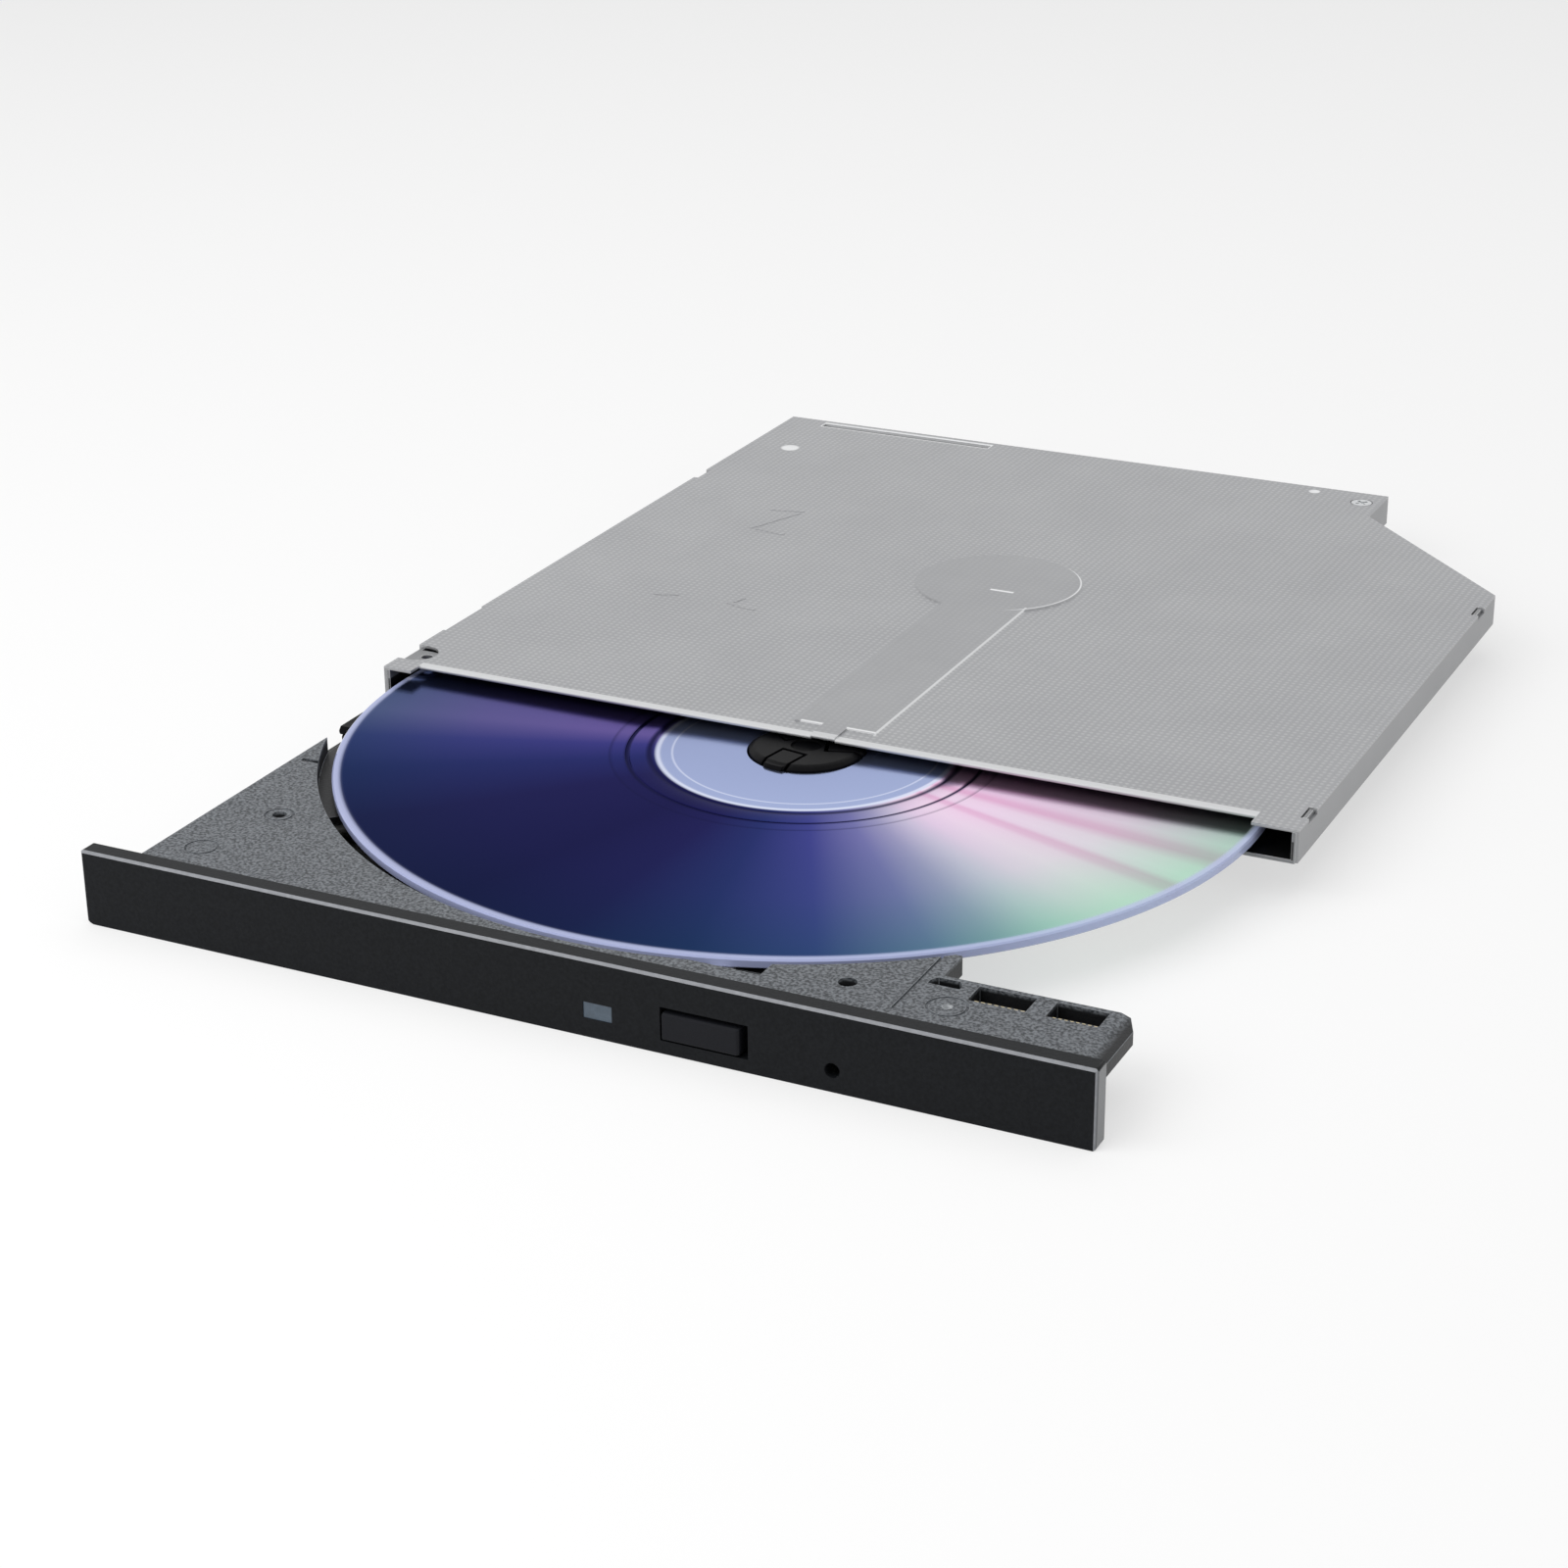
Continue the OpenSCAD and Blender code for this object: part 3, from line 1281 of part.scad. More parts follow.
// The disc: clear hub, stacking ring below, bevelled rim
module dvd_disc() {
  color("#24357a") in_pickup() translate([0, 0, disc_z]) rotate_extrude($fn = 180) polygon([
    [disc_hole_r, 0.1], [disc_hole_r + 0.1, 0], [turntable_r + 3.5, 0], [turntable_r + 3.8, -0.15],
    [turntable_r + 4.6, -0.15], [turntable_r + 4.9, 0], [disc_r - 0.15, 0], [disc_r, 0.15],
    [disc_r, disc_t - 0.15], [disc_r - 0.15, disc_t], [22.6, disc_t], [22.6, disc_t - 0.1],
    [22.2, disc_t - 0.1], [22.2, disc_t], [disc_hole_r + 0.1, disc_t], [disc_hole_r, disc_t - 0.1]]);
}

// Die-cast carriage: block under the lens, bearing on the main shaft, fork on the second shaft,
// arm with the nut that follows the lead screw
module pickup_sled() {
  z = [sled_z, sled_top];
  fork_v = second_shaft_v - shaft_r - 0.9;
  color("darkgray") on_sled() difference() {
    union() {
      block([sled_nose, sled_out], [-8.6, 8.8], z);
      block([sled_in, sled_out], [8.6, main_shaft_v + shaft_r + 1], z);
      block([-2.4, 1.6], [fork_v, -8], z);
      block([-2.5, 2.5], [main_shaft_v + shaft_r, screw_v + screw_r + 0.6], [sled_z + 0.2, sled_top]);
    }
    rod_x(main_shaft_v, shaft_z, [sled_in - air, sled_out + air], shaft_r + run_play);
    rod_x(main_shaft_v, shaft_z, [-3.5, 2], shaft_r + 0.4);
    block([-3, 3], [fork_v - air, second_shaft_v + shaft_r + 0.6],
      span(shaft_z, -shaft_r - run_play, shaft_r + run_play));
    rod_x(screw_v, shaft_z, [-3, 3], screw_r + 0.1);
    // light path up to the lens, seat of the laser, and pockets
    post([0, 0], [shaft_z - 0.6, case_h], lens_r + 0.6);
    translate([2.6, -8.6 - air, shaft_z]) rotate([-90, 0, 0]) cylinder(r = 0.75, h = 5);
    block([-6.6, -3.6], [-6.6, 6.6], [sled_z - air, sled_z + 0.7]);
    // hollow towards the hub, to clear the motor when the lens is at its innermost
    translate([-lens_min, 0, 0]) post([0, 0], [0, case_h], turntable_r + 2.6);
    for (s = [-1, 1]) translate([sled_out, s * 8.7, 0]) rotate(45)
      cube([2.6, 2.6, 4 * case_h], center = true);
  }
}

module laser_diode() {
  color("goldenrod") on_sled() union() {
    translate([2.6, -9.2, shaft_z]) rotate([-90, 0, 0]) cylinder(r = 0.85, h = 0.6);
    translate([2.6, -8.7, shaft_z]) rotate([-90, 0, 0]) cylinder(r = 0.7, h = 3);
  }
}

module actuator_magnets() {
  color("dimgray") on_sled() for (s = [-1, 1])
    block([-3.4, 3.4], span(s * 6.3, -0.5, 0.5), [sled_top, disc_z - 1.0]);
}

// Lens holder: frame with coils, hung between the magnets
module lens_holder() {
  low = sled_top + 0.35;
  color("#24262c") on_sled() difference() {
    union() {
      block([-3.6, 3.6], [-4.4, 4.4], [low, disc_z - 1.15]);
      block([-2.6, 2.6], [-5.3, 5.3], [low + 0.25, disc_z - 1.4]);
    }
    post([0, 0], [low + 0.5, case_h], lens_r);
    post([0, 0], [0, case_h], lens_r - 0.5);
  }
}

module objective_lens() {
  base = sled_top + 0.85;
  crown = disc_z - 0.75 - base;
  ball = (lens_r * lens_r + crown * crown) / (2 * crown) * 1.6;
  color("#a8c4e8") on_sled() intersection() {
    post([0, 0], [base, base + crown], lens_r);
    translate([0, 0, base + crown - ball]) sphere(r = ball);
  }
}

// Latch lever, hanging from its pivot; its hook stands behind the post of a shut tray
module latch_lever() {
  hook_y = post_y + post_r + 0.2;
  reach = norm([post_x, post_y] - latch_pivot) - post_r - 0.15;
  z = [plate_z + plate_t + 0.3, 3.7];
  color("ivory") in_tray() difference() {
    union() {
      post(latch_pivot, z, pivot_r + 1.3);
      // the hook's face runs round the pivot, so that it slides off the post
      slab(z) intersection() {
        polygon([[latch_pivot[0] - 1.2, latch_pivot[1]], [latch_pivot[0] - 0.9, post_y],
          [post_x + 0.4, post_y], [post_x + 1.2, hook_y],
          [post_x + 1.2, hook_y + 1.7], [latch_pivot[0] + 1.8, hook_y + 2.8],
          [latch_pivot[0] + 1.3, latch_pivot[1]]]);
        translate(latch_pivot) circle(r = reach, $fn = 180);
      }
      post([latch_pivot[0], 15], [z[1] - eps, z[1] + 0.6], 0.5);
    }
    post(latch_pivot, [0, case_h], pivot_r + run_play);
  }
}

module latch_spring() {
  turns = 3;
  wire = 0.14;
  z0 = 3.95;
  color("silver") in_tray() union() {
    for (k = [0:turns - 1]) translate([latch_pivot[0], latch_pivot[1], z0 + 1.7 * wire * k])
      rotate_extrude() translate([pivot_r + 0.1 + wire, 0]) circle(r = wire, $fn = 16);
    rod_x(latch_pivot[1] + pivot_r + 0.1 + wire, z0, [latch_pivot[0], latch_pivot[0] + 3], wire);
  }
}

module latch_solenoid() {
  z = [plate_z + plate_t + 0.2, deck_under];
  color("#b5651d") in_tray() difference() {
    union() {
      block(solenoid_x + [0.8, -0.8], span(solenoid_y, -2.4, 2.4), z + [0.3, -0.3]);
      for (x = [solenoid_x[0], solenoid_x[1] - 0.8])
        block([x, x + 0.8], span(solenoid_y, -3, 3), z);
      block(solenoid_x, span(solenoid_y, 2.4, 3), z);
    }
    rod_x(solenoid_y, plunger_z, [solenoid_x[0] + 2, solenoid_x[1] + air], 1.0);
  }
}

module solenoid_plunger() {
  lever_left = latch_pivot[0] - 1.2;
  color("silver") in_tray() union() {
    rod_x(solenoid_y, plunger_z, [solenoid_x[0] + 4.4, lever_left - 0.9], 0.85);
    difference() {
      block([lever_left - 1, latch_pivot[0] + 0.95], span(solenoid_y, -0.95, 0.95),
        [3.7 + 0.15, 3.7 + 0.55]);
      post([latch_pivot[0], solenoid_y], [0, case_h], 0.7);
    }
    block([lever_left - 1.2, lever_left - 0.4], span(solenoid_y, -0.85, 0.85),
      [plunger_z - 0.4, 3.7 + 0.55]);
  }
}

// Way of the emergency slider through the tray's front corner
module slider_room() {
  block(span(pin_hole_x, -1.2, 1.2), [bezel_back - air, 8.6], span(pin_hole_z, -0.85, 0.95));
  block([pin_hole_x - 11.5, pin_hole_x], [4.6, 8.2], span(pin_hole_z, -0.85, 0.95));
}

// Slider that a pin through the bezel pushes against the lever's nose
module emergency_slider() {
  z = span(pin_hole_z, -0.7, 0.7);
  color("ivory") in_tray() difference() {
    union() {
      block(span(pin_hole_x, -0.95, 0.95), [0.6, 4.9 + slider_arm], z);
      slab(z) polygon([[pin_hole_x - 10.4, 4.9], [pin_hole_x, 4.9],
        [pin_hole_x, 4.9 + slider_arm], [pin_hole_x - 7.4, 4.9 + slider_arm],
        [pin_hole_x - 8.6, 7.5], [pin_hole_x - 10.4, 7.5]]);
    }
    rod_y(pin_hole_x, pin_hole_z, [0, 1.1], 0.45);
  }
}

bottom_chassis();
top_cover();
cover_screw();
mount_bracket();
left_guide();
right_guide();
guide_screws();
latch_post();
rear_board();
rear_board_screws();
sata_connector();
rear_flex_socket();
flex_cable();
ejector_housing();
ejector_pin();
left_rail();
right_rail();
tray();
bezel();
light_pipe();
status_led();
button_board();
eject_switch();
eject_button();
ear_combs();
disc_edge_pad();
tray_bottom_plate();
tray_screws();
control_board();
control_chips();
tray_flex_socket();
control_board_screws();
traverse_deck();
damper_rubbers();
damper_screws();
main_guide_shaft();
second_guide_shaft();
feed_motor();
motor_base();
spindle_bearing();
spindle_stator();
motor_screws();
lead_screw();
pickup_sled();
laser_diode();
actuator_magnets();
lens_holder();
objective_lens();
rotor();
spindle_shaft();
turntable();
friction_ring();
hub_cap();
dvd_disc();
latch_lever();
latch_spring();
latch_solenoid();
solenoid_plunger();
emergency_slider();
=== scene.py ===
# %% [markdown]
# # A slim internal DVD writer
# The solid model of the drive is already made. This lesson dresses it: the sheet steel, the moulded
# plastic, the disc with its rainbow, and the lights and the camera that show them. Everything is in
# metres, in the model's own frame, so a helper called mm turns millimetres into metres.

# %% Load the model
import json
import math

import bpy
from mathutils import Matrix, Vector

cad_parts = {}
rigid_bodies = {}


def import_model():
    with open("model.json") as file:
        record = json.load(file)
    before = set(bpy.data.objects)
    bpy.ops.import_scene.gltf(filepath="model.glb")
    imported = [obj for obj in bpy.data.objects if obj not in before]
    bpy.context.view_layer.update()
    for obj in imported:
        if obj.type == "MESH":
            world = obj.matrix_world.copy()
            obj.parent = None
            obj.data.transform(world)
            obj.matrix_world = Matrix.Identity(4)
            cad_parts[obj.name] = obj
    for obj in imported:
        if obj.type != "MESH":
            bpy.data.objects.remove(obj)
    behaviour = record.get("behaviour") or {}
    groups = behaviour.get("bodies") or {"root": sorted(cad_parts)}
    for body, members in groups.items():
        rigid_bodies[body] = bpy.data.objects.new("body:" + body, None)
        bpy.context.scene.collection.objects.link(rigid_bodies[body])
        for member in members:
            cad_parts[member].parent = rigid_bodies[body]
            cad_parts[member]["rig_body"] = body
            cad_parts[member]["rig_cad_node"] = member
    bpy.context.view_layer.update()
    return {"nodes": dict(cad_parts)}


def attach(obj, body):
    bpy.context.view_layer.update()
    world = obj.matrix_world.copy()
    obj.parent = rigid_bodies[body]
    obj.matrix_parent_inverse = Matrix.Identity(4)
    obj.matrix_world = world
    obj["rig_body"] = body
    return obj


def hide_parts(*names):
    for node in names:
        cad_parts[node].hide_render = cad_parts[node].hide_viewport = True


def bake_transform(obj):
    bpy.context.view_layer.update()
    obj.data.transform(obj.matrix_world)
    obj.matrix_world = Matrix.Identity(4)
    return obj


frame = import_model()
nodes = frame["nodes"]
bpy.ops.object.select_all(action="DESELECT")


def mm(*values):
    """Millimetres to metres: one number, or a vector of three."""
    return values[0] / 1000 if len(values) == 1 else Vector(values) / 1000


# %% [markdown]
# ## The drive's own places
# The solid model was drawn from the housing's front left corner, and its origin is the centre of the
# underside. Pieces that lie on the tray were drawn for a shut tray, which then stands 63.4 mm out.
# Two small helpers turn those corner measures into places in the scene.

# %% Places
CASE_W, CASE_D, CASE_H = 128.0, 126.1, 9.5
TRAY_OUT = 63.4
COVER_TOP = 9.3
TRAY_TOP = 8.0
HUB = (62.5, 64.7)


def in_case(x, y, z=0.0):
    """A corner measure on the housing, as a place in metres."""
    return mm(x - CASE_W / 2, y - CASE_D / 2, z)


def in_tray(x, y, z=0.0):
    """A corner measure on the shut tray, as a place in metres with the tray out."""
    return in_case(x, y - TRAY_OUT, z)


hub_place = in_tray(*HUB)
print("hub axis at", tuple(round(v, 5) for v in hub_place))

# %% [markdown]
# ## The camera
# The photograph was taken from the front right, a little above, with a long lens. The camera's place
# and turn were worked out from the drive's known size, so they are written here as numbers. A camera
# looks along its own -Z, so the three columns of its matrix are its right, its up and the way back.

# %% Camera
yaw, pitch, roll = 0.4588, 0.4074, -0.0094
ahead = Vector((-math.sin(yaw) * math.cos(pitch), math.cos(yaw) * math.cos(pitch),
                -math.sin(pitch)))
level = Vector((math.cos(yaw), math.sin(yaw), 0))
above = level.cross(ahead)
side = level * math.cos(roll) + above * math.sin(roll)
upward = -level * math.sin(roll) + above * math.cos(roll)

bpy.ops.object.camera_add(location=in_case(229.016, -342.400, 167.726))
camera = bpy.context.object
camera.name = "camera"
place = camera.location.copy()
camera.matrix_world = Matrix.Translation(place) @ Matrix(
    (side, upward, -ahead)).transposed().to_4x4()
camera.data.lens = 74.70
camera.data.sensor_width = 36
camera.data.clip_start, camera.data.clip_end = 0.01, 20
bpy.context.scene.camera = camera
print("camera at", tuple(round(v, 3) for v in place))

# %% [markdown]
# ## Light and floor
# A product picture like this one is lit by large soft boxes: one broad light above, one low in front
# that makes the near part of the cover the brightest, and weak ones from the left and the right. The world adds an even white fill. The floor is plain and
# pale. Its own colour makes the background white, and it still keeps the drive's soft shadow. From
# below it is clear, so that the underside can be looked at. The lamps light the drive but aren't
# mirrored in it, or the disc would show them as white patches that hide its rainbow.

# %% World, lamps and floor


def colour(code):
    """An sRGB hex value as the linear RGBA that a shader socket takes."""
    parts = [int(code[i:i + 2], 16) / 255 for i in (1, 3, 5)]
    return tuple(p / 12.92 if p <= 0.04045 else ((p + 0.055) / 1.055) ** 2.4 for p in parts) + (1,)


def add(tree, kind, settings=None, inputs=None):
    """Add one node. Settings are its own properties; inputs are values, or sockets to link."""
    made = tree.nodes.new(kind)
    for name, value in (settings or {}).items():
        setattr(made, name, value)
    for name, value in (inputs or {}).items():
        if isinstance(value, bpy.types.NodeSocket):
            tree.links.new(value, made.inputs[name])
        else:
            made.inputs[name].default_value = value
    return made


def soft_box(name, location, target, size, power, tint="#ffffff"):
    """A square area lamp that looks at a target."""
    bpy.ops.object.light_add(type="AREA", location=location)
    lamp = bpy.context.object
    lamp.name = name
    lamp.data.size = size
    lamp.data.energy = power
    lamp.data.color = colour(tint)[:3]
    lamp.visible_glossy = False
    lamp.rotation_euler = (Vector(target) - Vector(location)).to_track_quat("-Z", "Y").to_euler()
    return lamp


bpy.context.scene.view_settings.view_transform = "Standard"
world = bpy.data.worlds.new("studio")
bpy.context.scene.world = world
world.use_nodes = True
tree = world.node_tree
tree.nodes.clear()
ray = add(tree, "ShaderNodeLightPath")
mirrored = add(tree, "ShaderNodeMath", {"operation": "MAXIMUM"},
               {0: ray.outputs["Is Glossy Ray"], 1: ray.outputs["Is Transmission Ray"]})
seen = add(tree, "ShaderNodeMath", {"operation": "MAXIMUM"},
           {0: ray.outputs["Is Camera Ray"], 1: mirrored.outputs[0]})
fill = add(tree, "ShaderNodeBackground", inputs={"Color": colour("#ffffff"), "Strength": 0.38})
white = add(tree, "ShaderNodeBackground", inputs={"Color": colour("#ffffff"), "Strength": 1.0})
both = add(tree, "ShaderNodeMixShader",
           inputs={0: seen.outputs[0], 1: fill.outputs[0], 2: white.outputs[0]})
add(tree, "ShaderNodeOutputWorld", inputs={"Surface": both.outputs[0]})

soft_box("top_box", (-0.10, 0.02, 0.6), (0, 0, 0), 0.85, 1.7)
soft_box("front_box", (-0.16, -0.44, 0.34), (0, -0.03, 0), 0.42, 1.25)
soft_box("left_box", (-0.75, -0.55, 0.6), (0, -0.05, 0), 0.5, 1.3)
soft_box("right_box", (0.8, -0.25, 0.35), (0, -0.02, 0), 0.4, 0.35)

bpy.ops.mesh.primitive_plane_add(size=8, location=(0, 0, mm(-0.05)))
floor = bpy.context.object
floor.name = "floor"
paper = bpy.data.materials.new("white_card")
paper.use_nodes = True
paper.node_tree.nodes.clear()
tree = paper.node_tree
ray = add(tree, "ShaderNodeLightPath")
mirrored = add(tree, "ShaderNodeMath", {"operation": "MAXIMUM"},
               {0: ray.outputs["Is Glossy Ray"], 1: ray.outputs["Is Transmission Ray"]})
seen = add(tree, "ShaderNodeMath", {"operation": "MAXIMUM"},
           {0: ray.outputs["Is Camera Ray"], 1: mirrored.outputs[0]})
share = add(tree, "ShaderNodeMath", {"operation": "MULTIPLY"}, {0: seen.outputs[0], 1: 0.6})
card = add(tree, "ShaderNodeBsdfDiffuse", inputs={"Color": colour("#fbfbfb")})
clear = add(tree, "ShaderNodeEmission", inputs={"Color": colour("#ffffff"), "Strength": 1.0})
mixed = add(tree, "ShaderNodeMixShader",
            inputs={0: share.outputs[0], 1: card.outputs[0], 2: clear.outputs[0]})
under = add(tree, "ShaderNodeNewGeometry")
open_below = add(tree, "ShaderNodeBsdfTransparent")
card_side = add(tree, "ShaderNodeMixShader", inputs={
    0: under.outputs["Backfacing"], 1: mixed.outputs[0], 2: open_below.outputs[0]})
add(tree, "ShaderNodeOutputMaterial", inputs={"Surface": card_side.outputs[0]})
floor.data.materials.append(paper)

# %% [markdown]
# ## Materials
# Each finish starts from the real one. A table gives a Principled shader its colour, metallic and
# roughness. Then each finish gets the small pattern that the real surface shows, worked out from a
# size in millimetres. Patterns read Object coordinates, which are metres here, so a grain of g mm
# needs a scale of 1000 / g.

# %% A start for every finish
finishes = {}


def finish(name, base, metallic=0.0, roughness=0.5, **sockets):
    """A new Principled material; returns its node tree, shader and Object coordinates."""
    made = bpy.data.materials.new(name)
    made.use_nodes = True
    made.node_tree.nodes.clear()
    shader = add(made.node_tree, "ShaderNodeBsdfPrincipled",
                 inputs={"Base Color": colour(base), "Metallic": metallic,
                         "Roughness": roughness, **sockets})
    add(made.node_tree, "ShaderNodeOutputMaterial", inputs={"Surface": shader.outputs[0]})
    spot = add(made.node_tree, "ShaderNodeTexCoord")
    finishes[name] = made
    return made.node_tree, shader, spot.outputs["Object"]


def grain(tree, shader, where, size_mm, height_mm, strength=0.5, shade=None, detail=3.0):
    """A fine irregular surface: noise of a real size as bump, and a faint change of colour."""
    noise = add(tree, "ShaderNodeTexNoise",
                inputs={"Vector": where, "Scale": 1000 / size_mm, "Detail": detail})
    bump = add(tree, "ShaderNodeBump",
               inputs={"Height": noise.outputs["Fac"], "Distance": mm(height_mm),
                       "Strength": strength})
    tree.links.new(bump.outputs[0], shader.inputs["Normal"])
    if shade:
        ramp = add(tree, "ShaderNodeMix", {"data_type": "RGBA"},
                   {"Factor": noise.outputs["Fac"], 6: colour(shade[0]), 7: colour(shade[1])})
        tree.links.new(ramp.outputs[2], shader.inputs["Base Color"])
    return noise


# %% [markdown]
# Many finishes change from place to place: a painted highlight on a line or a spot, a painted shade in
# a hollow. Small helpers make such masks from the piece's own coordinates, in the corner measures of
# the drawing. Each gives 1 inside and 0 outside, with a soft border.

# %% Masks by place


def math_node(tree, operation, first, second):
    """One Math node; returns its output."""
    return add(tree, "ShaderNodeMath", {"operation": operation}, {0: first, 1: second}).outputs[0]


def within(tree, value, low, high, soft=0.1):
    """1 where a value in metres lies between two sizes in mm."""
    rise = add(tree, "ShaderNodeMapRange", inputs={
        "Value": value, "From Min": mm(low - soft), "From Max": mm(low)})
    fall = add(tree, "ShaderNodeMapRange", inputs={
        "Value": value, "From Min": mm(high), "From Max": mm(high + soft), "To Min": 1.0,
        "To Max": 0.0})
    return math_node(tree, "MULTIPLY", rise.outputs[0], fall.outputs[0])


def patch(tree, axes, x_span, y_span, soft=0.15):
    """1 on a rectangle of the housing, given by spans in corner measures."""
    x_low, y_low = (v * 1000 for v in in_case(x_span[0], y_span[0])[:2])
    x_high, y_high = (v * 1000 for v in in_case(x_span[1], y_span[1])[:2])
    return math_node(tree, "MULTIPLY", within(tree, axes["X"], x_low, x_high, soft),
                     within(tree, axes["Y"], y_low, y_high, soft))


def away(tree, where, x, y):
    """How far a point lies from an upright axis at a corner measure, in metres."""
    level = add(tree, "ShaderNodeVectorMath", {"operation": "MULTIPLY"}, {0: where, 1: (1, 1, 0)})
    gap = add(tree, "ShaderNodeVectorMath", {"operation": "DISTANCE"},
              {0: level.outputs[0], 1: in_case(x, y)})
    return gap.outputs["Value"]


def any_of(tree, masks):
    """The largest of several masks."""
    found = masks[0]
    for mask in masks[1:]:
        found = math_node(tree, "MAXIMUM", found, mask)
    return found


def blend_colour(tree, share, first, second, kind="MIX"):
    """Mix two colours, given as sockets or hex values, by a mask."""
    inputs = {"Factor": share}
    for slot, value in ((6, first), (7, second)):
        inputs[slot] = colour(value) if isinstance(value, str) else value
    return add(tree, "ShaderNodeMix", {"data_type": "RGBA", "blend_type": kind},
               inputs).outputs[2]


# %% [markdown]
# The cover is zinc-coated steel sheet. The press leaves rows of tiny coined dots on it, about 0.9 mm
# apart, which soften its shine. The raised channel hardly shows them. Painted highlights make the
# steel near white along the right shoulder of the channel and its round end, the rolled hem at the
# front, the strip at the rear, a few coined spots and short lines. The side walls get a painted shade.
# The sheet also carries a faint cloudiness from handling.

# %% Cover steel
tree, shader, where = finish("coined_zinc_steel", "#adaeb0", metallic=0.5, roughness=0.4)
axes = add(tree, "ShaderNodeSeparateXYZ", inputs={0: where}).outputs
channel_share = within(tree, axes["Z"], 9.4, 12, 0.03)
hem = patch(tree, axes, (4.2, 122), (-2, 3.3), 0.1)
plain = any_of(tree, [hem, math_node(tree, "MULTIPLY", channel_share, 0.55),
                      within(tree, axes["Z"], -1, 9.2, 0.05)])
dots = add(tree, "ShaderNodeTexVoronoi", {"voronoi_dimensions": "2D"},
           {"Vector": where, "Scale": 1000 / 0.9, "Randomness": 0.12})
pit = add(tree, "ShaderNodeMapRange", {"interpolation_type": "SMOOTHSTEP"},
          {"Value": dots.outputs["Distance"], "From Min": 0.12, "From Max": 0.42,
           "To Min": 0.0, "To Max": 1.0})
depth = math_node(tree, "MULTIPLY", pit.outputs[0], math_node(tree, "SUBTRACT", 1.0, plain))
cloud = add(tree, "ShaderNodeTexNoise",
            inputs={"Vector": where, "Scale": 1000 / 14, "Detail": 4.0, "Roughness": 0.6})
base = blend_colour(tree, cloud.outputs["Fac"], "#a8a9ab", "#b9babb")
base = blend_colour(tree, depth, base, "#e4e4e6", "MULTIPLY")
base = blend_colour(tree, channel_share, base, "#ececed", "MULTIPLY")
# Painted shade: the side walls below the top are made a little darker.
painted_side_shade = within(tree, axes["Z"], -1, 9.0, 0.1)
base = blend_colour(tree, painted_side_shade, base, "#dededf", "MULTIPLY")
# Painted highlight: near white on the channel's right shoulder and round end, the hem, the rear strip, a
# few spots and short lines.
round_end = math_node(tree, "MULTIPLY", within(tree, away(tree, where, 62.3, 65), 11.75, 11.9),
                      patch(tree, axes, (69.8, 80), (52, 76), 2.5))
cover_painted_highlights = any_of(tree, [
    math_node(tree, "MULTIPLY", patch(tree, axes, (69.95, 70.1), (5.4, 56.5)), 0.75),
    math_node(tree, "MULTIPLY", round_end, 0.75),
    patch(tree, axes, (62.6, 66.0), (61.35, 61.75)),
    patch(tree, axes, (59.5, 62.5), (5.85, 6.15)), patch(tree, axes, (66.0, 70.0), (5.85, 6.15)),
    patch(tree, axes, (6.5, 36.3), (123.0, 125.2)),
    within(tree, away(tree, where, 6.9, 110.6), -1, 1.2, 0.4),
    within(tree, away(tree, where, 90.6, 123.9), -1, 0.7, 0.3),
    math_node(tree, "MULTIPLY", hem, 0.5)])
base = blend_colour(tree, cover_painted_highlights, base, "#e9eaeb")
tree.links.new(base, shader.inputs["Base Color"])
bump = add(tree, "ShaderNodeBump",
           inputs={"Height": depth, "Distance": mm(0.05), "Strength": 0.45})
tree.links.new(bump.outputs[0], shader.inputs["Normal"])

# %% [markdown]
# A folded or cut edge of zinc steel is given a near-white colour: a painted highlight along the round.

# %% Bright steel edge
# Painted highlight: the rounds of the cover and the housing are coloured near white.
tree, shader, where = finish("zinc_edge_painted_highlight", "#e2e3e4", metallic=0.6, roughness=0.3)
grain(tree, shader, where, 0.4, 0.01, 0.3, ("#d6d7d9", "#eff0f1"))

# %% [markdown]
# The lower housing is the same steel without dots. Rolled sheet shows very fine scratches along the
# rolling direction, so its noise is stretched along Y. Near the mouth its inner walls and floor get a
# painted shade: they are coloured nearly black and made less metallic.

# %% Plain steels
tree, shader, where = finish("zinc_steel_sheet", "#8d8e90", metallic=0.6, roughness=0.42)
axes = add(tree, "ShaderNodeSeparateXYZ", inputs={0: where}).outputs
long = add(tree, "ShaderNodeMapping", inputs={"Vector": where, "Scale": (1, 0.05, 1)})
streaks = grain(tree, shader, long.outputs[0], 0.35, 0.01, 0.35)
base = blend_colour(tree, streaks.outputs["Fac"], "#7a7b7d", "#929395")
# Painted shade: inside the housing near the mouth, the steel is coloured nearly black.
deep = math_node(tree, "MULTIPLY", within(tree, axes["X"], -63.35, 37.0, 0.05),
                 within(tree, axes["Z"], 0.3, 7.6, 0.1))
wing = math_node(tree, "MULTIPLY", within(tree, axes["X"], 37.0, 63.35, 0.05),
                 within(tree, axes["Z"], 5.3, 7.6, 0.1))
inside = math_node(tree, "MULTIPLY", any_of(tree, [deep, wing]),
                   within(tree, axes["Y"], -70, -20, 25))
base = blend_colour(tree, inside, base, "#0b0b0c")
tree.links.new(base, shader.inputs["Base Color"])
tree.links.new(math_node(tree, "MULTIPLY", math_node(tree, "SUBTRACT", 1.0, inside), 0.6),
               shader.inputs["Metallic"])

tree, shader, where = finish("pressed_deck_steel", "#a9a9a6", metallic=0.8, roughness=0.38)
grain(tree, shader, where, 0.8, 0.01, 0.3, ("#9a9a98", "#b4b4b1"))

tree, shader, where = finish("turned_bright_steel", "#c6c8ca", metallic=1.0, roughness=0.2)
grain(tree, shader, where, 0.25, 0.004, 0.3)

tree, shader, where = finish("blackened_screw_steel", "#3b3b3d", metallic=0.8, roughness=0.42)
grain(tree, shader, where, 0.25, 0.006, 0.4)
